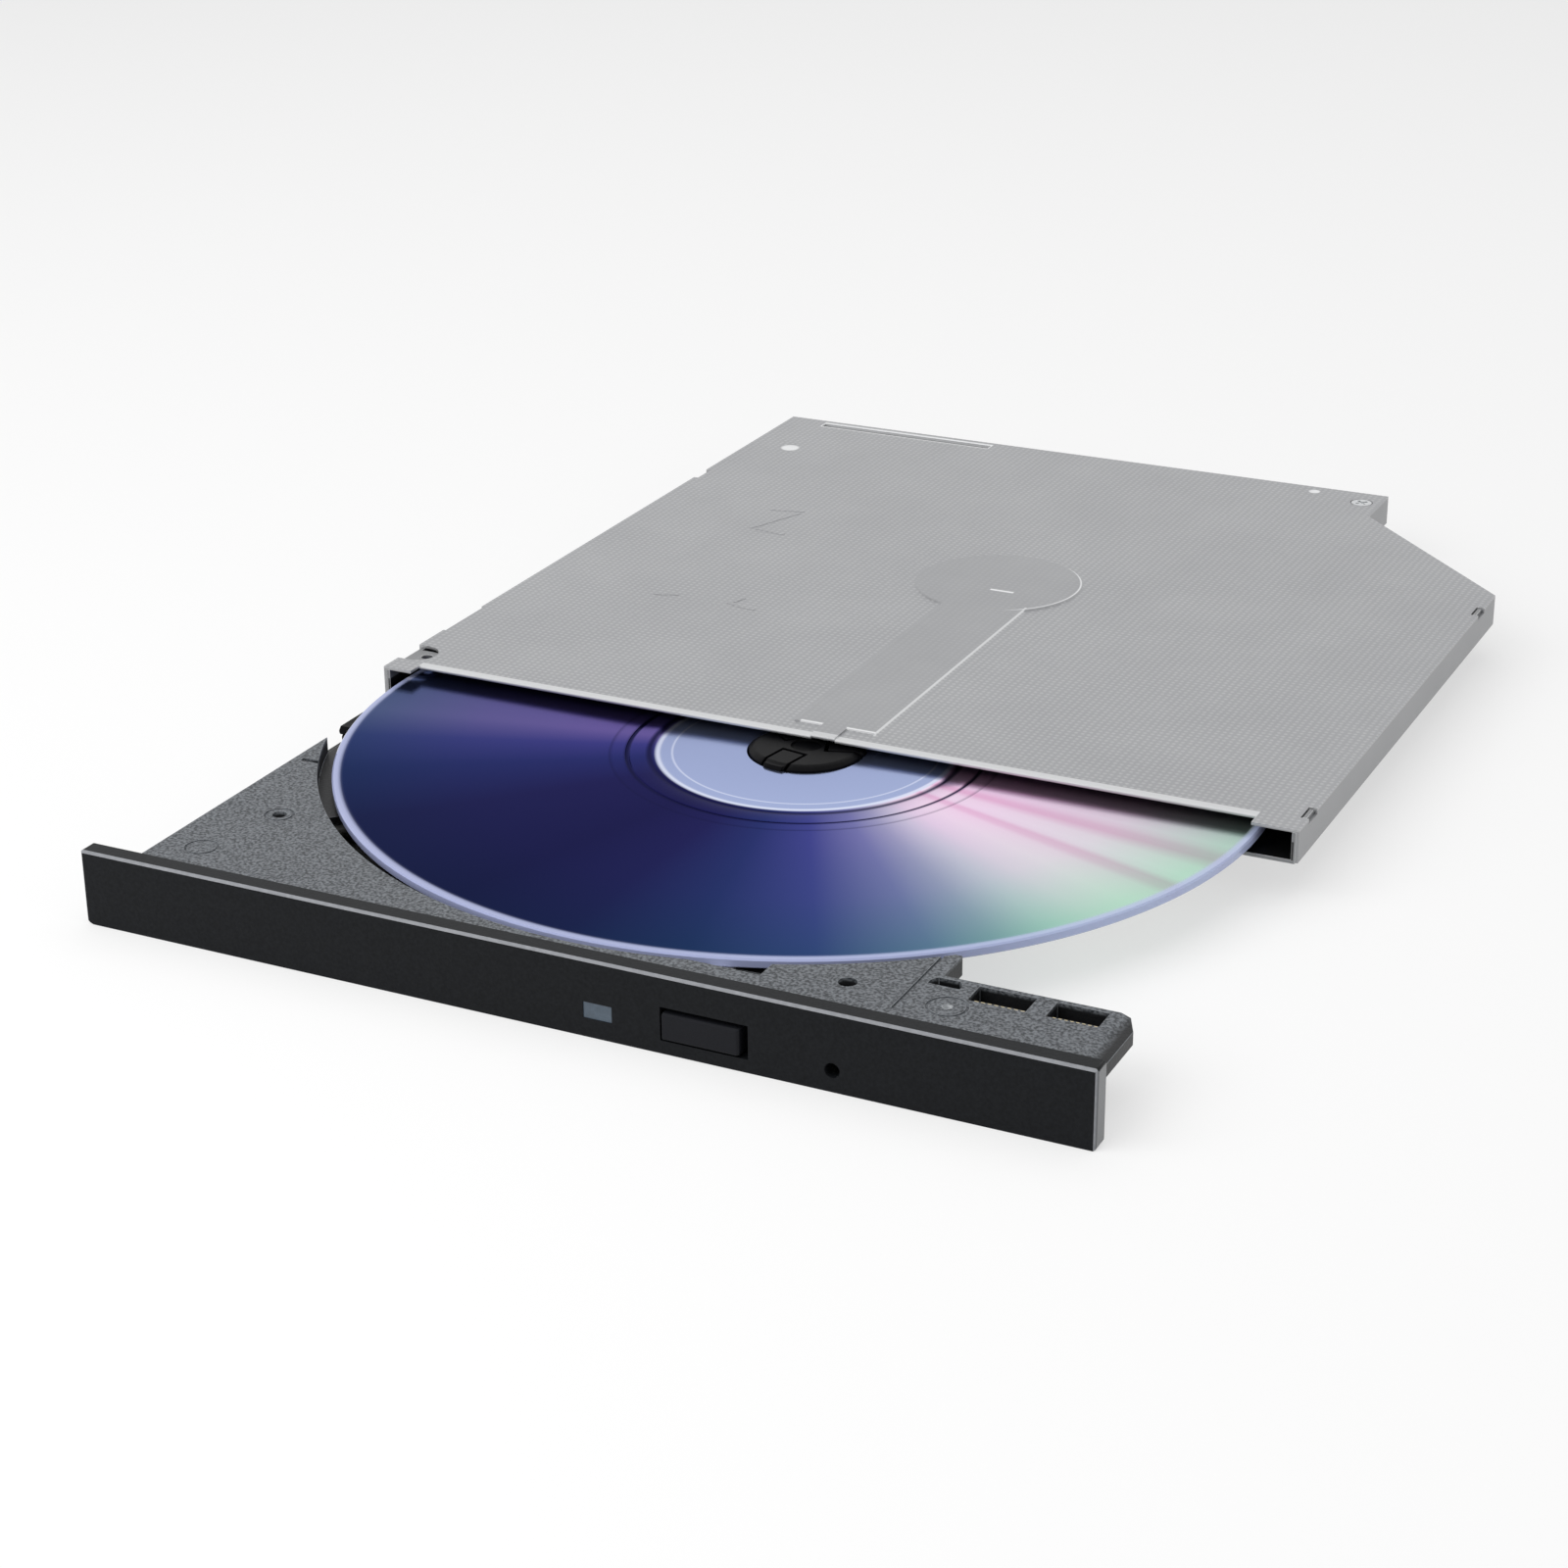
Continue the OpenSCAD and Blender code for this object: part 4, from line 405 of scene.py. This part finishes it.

# %% [markdown]
# The tray is a dark grey moulding with a coarse spark-eroded grain on its deck, about 0.8 mm across.
# The grain catches light on its tops, and these tops are also coloured lighter as painted highlights,
# so the deck looks speckled. The sides and hollows below the deck get a painted shade that makes them
# nearly black.

# %% Moulded plastics
tree, shader, where = finish("grained_grey_moulding", "#484c51", roughness=0.5,
                             **{"Specular IOR Level": 0.35})
axes = add(tree, "ShaderNodeSeparateXYZ", inputs={0: where}).outputs
specks = grain(tree, shader, where, 0.36, 0.07, 0.7, detail=3.0)
sharp = add(tree, "ShaderNodeMapRange", inputs={
    "Value": specks.outputs["Fac"], "From Min": 0.38, "From Max": 0.62})
# Painted highlight: the tops of the grain are coloured lighter than its hollows.
deck_colour = blend_colour(tree, sharp.outputs[0], "#2f3236", "#72767b")
# Painted shade: everything below the deck top is coloured nearly black.
low = within(tree, axes["Z"], -5, TRAY_TOP - 0.55, 0.35)
base = blend_colour(tree, low, deck_colour, "#131416")
locating_pin = within(tree, away(tree, where, 107.3, 6.3 - TRAY_OUT), -1, 0.5, 0.15)
base = blend_colour(tree, locating_pin, base, "#c9cccf")
tree.links.new(base, shader.inputs["Base Color"])

# Painted highlight: the tray's rounded edges get a lighter grey than the deck.
tree, shader, where = finish("grey_edge_painted_highlight", "#7b7f84", roughness=0.4,
                             **{"Specular IOR Level": 0.4})
grain(tree, shader, where, 0.5, 0.02, 0.4, ("#5d6165", "#8a8e93"))

tree, shader, where = finish("satin_black_moulding", "#121316", roughness=0.42,
                             **{"Specular IOR Level": 0.1})
grain(tree, shader, where, 0.4, 0.03, 0.5, ("#0b0c0e", "#1e2023"), detail=3.0)

# Painted highlight: the bezel's sloped rounds and right end face get this grey, far lighter than the black
# moulding, and a little darker on the end face.
tree, shader, where = finish("black_edge_painted_highlight", "#85878c", roughness=0.25,
                             **{"Specular IOR Level": 0.5})
highlight_grain = grain(tree, shader, where, 0.6, 0.01, 0.3)
axes = add(tree, "ShaderNodeSeparateXYZ", inputs={0: where}).outputs
painted_lit_end_face = within(tree, axes["X"], 63.9, 65, 0.05)
base = blend_colour(tree, highlight_grain.outputs["Fac"], "#787a7f", "#989a9f")
base = blend_colour(tree, painted_lit_end_face, base, "#65676a")
tree.links.new(base, shader.inputs["Base Color"])

tree, shader, where = finish("button_moulding", "#1a1b1f", roughness=0.33,
                             **{"Specular IOR Level": 0.1})
grain(tree, shader, where, 0.2, 0.01, 0.3, ("#16171a", "#202126"), detail=2.0)

tree, shader, where = finish("black_acetal", "#08080a", roughness=0.42,
                             **{"Specular IOR Level": 0.06})
grain(tree, shader, where, 0.5, 0.008, 0.3, ("#050506", "#0c0c0e"))

tree, shader, where = finish("smoked_window", "#4a5865", roughness=0.22, **{
    "Transmission Weight": 0.15})
grain(tree, shader, where, 0.6, 0.004, 0.2, ("#43505c", "#566574"))

tree, shader, where = finish("ivory_acetal", "#d9d5c6", roughness=0.4)
grain(tree, shader, where, 0.4, 0.01, 0.3, ("#d2cebf", "#e1ddcf"))

tree, shader, where = finish("white_foam_pad", "#e4e3df", roughness=0.85)
grain(tree, shader, where, 0.25, 0.06, 0.6, ("#d8d7d2", "#efeeea"))

tree, shader, where = finish("damper_rubber", "#242426", roughness=0.7)
grain(tree, shader, where, 0.3, 0.02, 0.4, ("#1f1f21", "#2c2c2e"))

# %% [markdown]
# Printed boards are green solder mask over copper tracks. The tracks show as slightly lighter lines,
# about 0.3 mm wide, which a brick texture draws at right angles.

# %% Boards, copper and bronze
tree, shader, where = finish("green_solder_mask", "#1d5137", roughness=0.35)
lines = add(tree, "ShaderNodeTexBrick", {"offset": 0.37, "squash": 0.7},
            {"Vector": where, "Scale": 1000 / 4, "Color1": colour("#1b4c33"),
             "Color2": colour("#1f5539"), "Mortar": colour("#2f7850"), "Mortar Size": 0.03})
tree.links.new(lines.outputs["Color"], shader.inputs["Base Color"])
raised = add(tree, "ShaderNodeBump",
             inputs={"Height": lines.outputs["Fac"], "Distance": mm(0.03), "Strength": 0.5})
tree.links.new(raised.outputs[0], shader.inputs["Normal"])

tree, shader, where = finish("epoxy_chip", "#1a1a1b", roughness=0.55)
grain(tree, shader, where, 0.2, 0.01, 0.4, ("#161617", "#222223"))

tree, shader, where = finish("enamelled_copper_wire", "#a4572a", metallic=0.7, roughness=0.35)
turns = add(tree, "ShaderNodeTexWave", {"bands_direction": "Z"},
            {"Vector": where, "Scale": 1000 / 1.2, "Distortion": 1.5, "Detail": 1.0})
wound = add(tree, "ShaderNodeBump",
            inputs={"Height": turns.outputs["Fac"], "Distance": mm(0.08), "Strength": 0.6})
tree.links.new(wound.outputs[0], shader.inputs["Normal"])

tree, shader, where = finish("sintered_bronze", "#a07b3a", metallic=0.85, roughness=0.45)
grain(tree, shader, where, 0.25, 0.02, 0.5, ("#8f6c31", "#b18a46"))

tree, shader, where = finish("tinned_brass", "#d3c196", metallic=0.75, roughness=0.3)
grain(tree, shader, where, 0.3, 0.01, 0.3, ("#c2ae7e", "#e2d3ad"))

tree, shader, where = finish("polyester_flat_cable", "#cfd0c8", roughness=0.35)
cores = add(tree, "ShaderNodeTexWave", {"bands_direction": "X"},
            {"Vector": where, "Scale": 1000 / 6.3, "Distortion": 0.0})
core = add(tree, "ShaderNodeMix", {"data_type": "RGBA"},
           {"Factor": cores.outputs["Fac"], 6: colour("#d9dad2"), 7: colour("#b9b4a6")})
tree.links.new(core.outputs[2], shader.inputs["Base Color"])

tree, shader, where = finish("coated_lens", "#7f9fd0", roughness=0.05, **{
    "Transmission Weight": 0.6, "IOR": 1.5, "Coat Weight": 0.8})
grain(tree, shader, where, 3.0, 0.002, 0.1, ("#6f8fcc", "#a08fd6"))

# %% [markdown]
# ## The disc's rainbow
# A disc is clear polycarbonate over a violet dye and a mirror. Its spiral track is so fine that it
# splits light, so broad fans of colour run out from the centre. A shader that followed the eye would
# slide in other views, so the fans are laid on the disc by angle as painted reflections: the pale pink
# and mint fans are painted light, and the deep indigo between them is the dye. The ColorRamp goes once
# round the disc, from the angle that the Gradient texture gives. Rings by radius add the bright band at
# the rim, the mirror zone round the hub and the dark line between them.

# %% Disc material
disc_middle = hub_place
tree, shader, where = finish("dyed_mirror_disc", "#1d2360", metallic=0.95, roughness=0.14, **{
    "Specular Tint": colour("#bcbcc8"), "Anisotropic": 0.3})
centred = add(tree, "ShaderNodeMapping", inputs={"Vector": where, "Location": -disc_middle})
radial = add(tree, "ShaderNodeTexGradient", {"gradient_type": "RADIAL"},
             {"Vector": centred.outputs[0]})
fans = add(tree, "ShaderNodeValToRGB", inputs={"Fac": radial.outputs["Fac"]})
# Angle 0 is the left of the disc; it then runs by the front, the right and the rear.
stops = [(0.00, "#655f9c"), (0.03, "#6c64a2"), (0.055, "#3d4187"), (0.085, "#26306c"),
         (0.13, "#1d1f52"), (0.20, "#191b4b"), (0.245, "#1f2256"), (0.285, "#28376f"),
         (0.325, "#434d93"), (0.36, "#7b84b6"), (0.38, "#a5aecb"), (0.40, "#d6dbe8"),
         (0.415, "#f2eaf6"), (0.43, "#fdf4fc"), (0.441, "#fff0fb"), (0.448, "#f3c9e2"), (0.454, "#fff6ff"),
         (0.465, "#fdf0fa"), (0.474, "#f0c4de"), (0.483, "#fbe9f8"), (0.51, "#d9b9d2"),
         (0.55, "#74649a"), (0.61, "#2b2e66"), (0.72, "#1c1e50"), (0.85, "#2a2c66"),
         (0.93, "#4d4a88"), (0.985, "#615b99")]
ramp = fans.color_ramp
while len(ramp.elements) < len(stops):
    ramp.elements.new(0.5)
for element, (at, code) in zip(ramp.elements, stops):
    element.position = at
for element, (at, code) in zip(ramp.elements, stops):
    element.position, element.color = at, colour(code)
flat = add(tree, "ShaderNodeVectorMath", {"operation": "MULTIPLY"},
           {0: centred.outputs[0], 1: (1, 1, 0)})
radius = add(tree, "ShaderNodeVectorMath", {"operation": "LENGTH"}, {0: flat.outputs[0]})
share = add(tree, "ShaderNodeMapRange",
            inputs={"Value": radius.outputs["Value"], "From Min": 0.0, "From Max": mm(60)})


def ring(tree, radius_share, stops):
    """A ramp of grey over the radius, as a mask."""
    made = add(tree, "ShaderNodeValToRGB", inputs={"Fac": radius_share})
    while len(made.color_ramp.elements) < len(stops):
        made.color_ramp.elements.new(0.5)
    for element, (at, value) in zip(made.color_ramp.elements, stops):
        element.position = at / 60
    for element, (at, value) in zip(made.color_ramp.elements, stops):
        element.position, element.color = at / 60, (value, value, value, 1)
    return made


mirror_mask = ring(tree, share.outputs[0], [(0, 1), (18.6, 1), (19.2, 0), (60, 0)])
pale_mask = ring(tree, share.outputs[0], [(0, 0), (16.9, 0), (17.1, 0.8), (17.3, 0), (18.5, 0),
                                          (18.8, 1), (19.1, 1), (19.4, 0), (60, 0)])
line_mask = ring(tree, share.outputs[0], [(0, 0), (19.5, 0), (19.8, 0.9), (20.2, 0.9), (20.6, 0),
                                          (22.5, 0), (22.75, 1), (23.05, 1), (23.3, 0),
                                          (24.8, 0), (25, 0.7), (25.2, 0), (60, 0)])
rim_mask = ring(tree, share.outputs[0], [(0, 0), (58.8, 0), (59.2, 0.75), (60, 0.9)])
# Outwards the painted fans turn from pink to mint and the dark parts deepen.
outwards = ring(tree, share.outputs[0], [(0, 0), (28, 0), (44, 0.35), (58, 1)])
step = blend_colour(tree, outwards.outputs[0], "#ffeefb", "#c3f3d3")
step = blend_colour(tree, 1.0, fans.outputs[0], step, "MULTIPLY")
step = blend_colour(tree, mirror_mask.outputs[0], step, "#a9b6dc")
step = blend_colour(tree, pale_mask.outputs[0], step, "#e4ebff")
step = blend_colour(tree, line_mask.outputs[0], step, "#12133c")
step = blend_colour(tree, rim_mask.outputs[0], step, "#b6bee6")
tree.links.new(step, shader.inputs["Base Color"])
# The bare rim has no mirror in it, so it shines like plastic.
bare = math_node(tree, "SUBTRACT", 0.95, rim_mask.outputs[0])
tree.links.new(bare, shader.inputs["Metallic"])
around = add(tree, "ShaderNodeTangent", {"direction_type": "RADIAL", "axis": "Z"})
tree.links.new(around.outputs[0], shader.inputs["Tangent"])
print("disc ramp stops:", len(ramp.elements))

# %% [markdown]
# ## A finish for every solid
# A table says which finish each solid of the model gets. The solids' own shapes stay as they are.

# %% Give the solids their finishes
worn_by = {
    "coined_zinc_steel": ["top_cover"],
    "zinc_steel_sheet": ["bottom_chassis", "mount_bracket", "latch_post", "feed_motor", "rotor"],
    "pressed_deck_steel": ["traverse_deck", "tray_bottom_plate", "motor_base", "pickup_sled"],
    "turned_bright_steel": ["cover_screw", "rear_board_screws", "tray_screws",
                            "control_board_screws", "damper_screws", "motor_screws",
                            "main_guide_shaft", "second_guide_shaft", "lead_screw",
                            "spindle_shaft", "latch_spring", "solenoid_plunger"],
    "blackened_screw_steel": ["guide_screws", "actuator_magnets"],
    "grained_grey_moulding": ["tray"],
    "satin_black_moulding": ["bezel", "sata_connector"],
    "button_moulding": ["eject_button"],
    "black_acetal": ["left_rail", "right_rail", "left_guide", "right_guide", "turntable",
                     "hub_cap", "ejector_housing", "lens_holder", "eject_switch"],
    "smoked_window": ["light_pipe"],
    "ivory_acetal": ["ejector_pin", "latch_lever", "emergency_slider", "rear_flex_socket",
                     "tray_flex_socket", "status_led"],
    "white_foam_pad": ["disc_edge_pad"],
    "damper_rubber": ["damper_rubbers", "friction_ring"],
    "green_solder_mask": ["rear_board", "button_board", "control_board"],
    "epoxy_chip": ["control_chips"],
    "enamelled_copper_wire": ["spindle_stator", "latch_solenoid"],
    "sintered_bronze": ["spindle_bearing"],
    "tinned_brass": ["ear_combs", "laser_diode"],
    "polyester_flat_cable": ["flex_cable"],
    "coated_lens": ["objective_lens"],
    "dyed_mirror_disc": ["dvd_disc"],
}
for finish_name, solids in worn_by.items():
    for solid in solids:
        slots = nodes[solid].data.materials
        slots.clear()
        slots.append(finishes[finish_name])
bare = sorted(set(nodes) - {s for solids in worn_by.values() for s in solids})
print("solids without a finish:", bare)

# %% [markdown]
# ## Eased edges
# Real sheet metal and mouldings have no razor edges: each edge has a tiny round that catches a thin
# line of light. A solid of the model is left alone, so its copy is merged, its flat faces are cleaned
# of their triangles, and a Bevel modifier rounds the edges by a real radius. Where a finish is given
# for the rounds, they take it: a lighter colour, which is a painted highlight along the edge. A
# Weighted Normal modifier keeps the flat faces flat. The copy then stands for the solid.

# %% Copies with rounded edges


def merged_copy(solid):
    """A copy of a solid as one closed mesh; returns it and the body that it rides on."""
    bpy.ops.object.select_all(action="DESELECT")
    source = nodes[solid]
    source.select_set(True)
    bpy.context.view_layer.objects.active = source
    bpy.ops.object.duplicate()
    piece = bpy.context.object
    piece.name = solid + "_shell"
    body = piece["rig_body"]
    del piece["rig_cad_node"]
    piece.parent = None
    bpy.ops.object.mode_set(mode="EDIT")
    bpy.ops.mesh.select_all(action="SELECT")
    bpy.ops.mesh.remove_doubles(threshold=1e-6)
    bpy.ops.mesh.dissolve_limited(angle_limit=math.radians(0.6))
    bpy.ops.object.mode_set(mode="OBJECT")
    return piece, body


def eased(solid, radius_mm, rounds=2, least_angle=30, edge_finish=None):
    """A copy of a solid whose edges sharper than least_angle are rounded."""
    piece, body = merged_copy(solid)
    edge = piece.modifiers.new("eased_edges", "BEVEL")
    edge.width = mm(radius_mm)
    edge.segments = rounds
    edge.limit_method = "ANGLE"
    edge.angle_limit = math.radians(least_angle)
    if edge_finish:
        piece.data.materials.append(finishes[edge_finish])
        edge.material = 1
    bpy.ops.object.modifier_apply(modifier=edge.name)
    bpy.ops.object.shade_smooth_by_angle(angle=math.radians(40))
    level = piece.modifiers.new("flat_faces_stay_flat", "WEIGHTED_NORMAL")
    level.keep_sharp = True
    bpy.ops.object.modifier_apply(modifier=level.name)
    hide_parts(solid)
    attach(piece, body)
    print(piece.name, "faces:", len(piece.data.polygons))
    return piece


cover_shell = eased("top_cover", 0.12, edge_finish="zinc_edge_painted_highlight")
chassis_shell = eased("bottom_chassis", 0.1, edge_finish="zinc_edge_painted_highlight")
tray_shell = eased("tray", 0.12, edge_finish="grey_edge_painted_highlight")
bezel_shell = eased("bezel", 0.16, edge_finish="black_edge_painted_highlight")
# Painted highlight: the sloped rounds at the bezel's outer corners and its whole right end face take the
# lighter edge finish.
for face in bezel_shell.data.polygons:
    across, out, up = (abs(v) for v in face.normal)
    if out > 0.2 and max(across, up) > 0.2 or face.normal.x > 0.9 and face.center.x > mm(63):
        face.material_index = 1
button_shell = eased("eject_button", 0.12)
left_rail_shell = eased("left_rail", 0.08)
right_rail_shell = eased("right_rail", 0.08)
hub_shell = eased("hub_cap", 0.08)

# The smaller pieces keep the slot that the record gives them, with rounds of their own size in mm.
small_rounds = {"mount_bracket": 0.08, "sata_connector": 0.06, "tray_bottom_plate": 0.06,
                "turntable": 0.05, "feed_motor": 0.12, "latch_lever": 0.1,
                "emergency_slider": 0.1, "latch_solenoid": 0.1, "ejector_housing": 0.1,
                "lens_holder": 0.06, "left_guide": 0.08, "right_guide": 0.08,
                "button_board": 0.03, "control_chips": 0.04, "disc_edge_pad": 0.1}
for solid, radius in small_rounds.items():
    eased(solid, radius, rounds=1)

# %% [markdown]
# ## The flat cable
# The flat cable joins the sliding tray to the board at the rear. It lies on the floor, folds over near
# the front and runs back under the tray. When the tray slides, the fold travels with it. Here the copy
# is merged into one mesh, the solid is hidden and the copy's place is baked into its mesh.

# %% Flat cable copy
cable, cable_body = merged_copy("flex_cable")
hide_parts("flex_cable")
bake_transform(cable)
print("cable faces:", len(cable.data.polygons), "was on", cable_body)

# %% [markdown]
# ## The disc
# A disc is turned from one profile. The profile is walked as a chain of rings: a circle is added at
# the edge of the centre hole, then it is extruded and resized from step to step, under the disc, round
# its rim and back over the top. The fine steps near 20 and 23 mm are the moulded stacking ring and the
# edge of the metal layer. Last, the first and the last ring meet and are merged.

# %% Turn a profile


def turned(name, profile, centre, steps):
    """A closed body of rotation about a vertical axis. The profile holds radii and heights in mm."""
    start_r, start_z = profile[0]
    bpy.ops.object.select_all(action="DESELECT")
    bpy.ops.mesh.primitive_circle_add(vertices=steps, radius=mm(start_r),
                                      location=centre + mm(0, 0, start_z))
    piece = bpy.context.object
    piece.name = name
    bpy.ops.object.transform_apply(location=True, rotation=True, scale=True)
    bpy.ops.object.mode_set(mode="EDIT")
    bpy.ops.mesh.select_all(action="SELECT")
    for (r, z), (next_r, next_z) in zip(profile, profile[1:] + profile[:1]):
        bpy.ops.mesh.extrude_region_move(
            TRANSFORM_OT_translate={"value": (0, 0, mm(next_z - z))})
        bpy.ops.transform.resize(value=(next_r / r, next_r / r, 1),
                                 center_override=centre + mm(0, 0, next_z))
    bpy.ops.mesh.select_all(action="SELECT")
    bpy.ops.mesh.remove_doubles(threshold=1e-6)
    bpy.ops.mesh.normals_make_consistent(inside=False)
    bpy.ops.object.mode_set(mode="OBJECT")
    bpy.ops.object.shade_smooth_by_angle(angle=math.radians(30))
    print(name, "faces:", len(piece.data.polygons))
    return piece


disc_z = 6.4
disc_profile = [(7.5, 0.12), (7.62, 0.0), (16.6, 0.0), (16.85, -0.15), (17.55, -0.15), (17.8, 0.0),
                (59.8, 0.0), (60.0, 0.2), (60.0, 1.0), (59.8, 1.2), (23.1, 1.2), (23.02, 1.1),
                (22.6, 1.1), (22.52, 1.2), (20.3, 1.2), (20.1, 1.15), (19.7, 1.15), (19.5, 1.2),
                (7.62, 1.2), (7.5, 1.08)]
disc = turned("dvd_disc_turned", [(r, z + disc_z) for r, z in disc_profile], hub_place, 180)
disc.data.materials.append(finishes["dyed_mirror_disc"])
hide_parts("dvd_disc")
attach(disc, "spindle")

# %% [markdown]
# ## Contacts of the rear plug
# The plug has two tongues with gilt contacts, seven for data and six for power. Each contact is a
# flat plate with bevelled edges, made by the same function, and all of them are joined into one piece.

# %% Gilt contacts
tree, shader, where = finish("gilt_contact", "#c9a24a", metallic=1.0, roughness=0.25)
grain(tree, shader, where, 0.3, 0.004, 0.3, ("#bd9540", "#d6b25c"))

first_x, contact_z = 64.8, 4.8


def contact(x, width):
    """One flat contact on a tongue, with bevelled edges."""
    bpy.ops.object.select_all(action="DESELECT")
    bpy.ops.mesh.primitive_cube_add(size=1, location=in_case(x, 123.0, contact_z + 0.04))
    piece = bpy.context.object
    piece.scale = mm(width, 3.6, 0.08)
    bpy.ops.object.transform_apply(location=True, rotation=True, scale=True)
    bpy.ops.object.mode_set(mode="EDIT")
    bpy.ops.mesh.select_all(action="SELECT")
    bpy.ops.mesh.bevel(offset=mm(0.03), segments=2)
    bpy.ops.object.mode_set(mode="OBJECT")
    piece.data.materials.append(finishes["gilt_contact"])
    return piece


contacts = [contact(first_x + 1.85 * i, 0.8) for i in range(6)]
contacts += [contact(79.9 + 1.87 * i, 0.7) for i in range(7)]
bpy.ops.object.select_all(action="DESELECT")
for piece in contacts:
    piece.select_set(True)
bpy.context.view_layer.objects.active = contacts[0]
bpy.ops.object.join()
plug_contacts = bpy.context.object
plug_contacts.name = "plug_contacts"
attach(plug_contacts, "chassis")
print("contacts in one piece:", len(contacts))
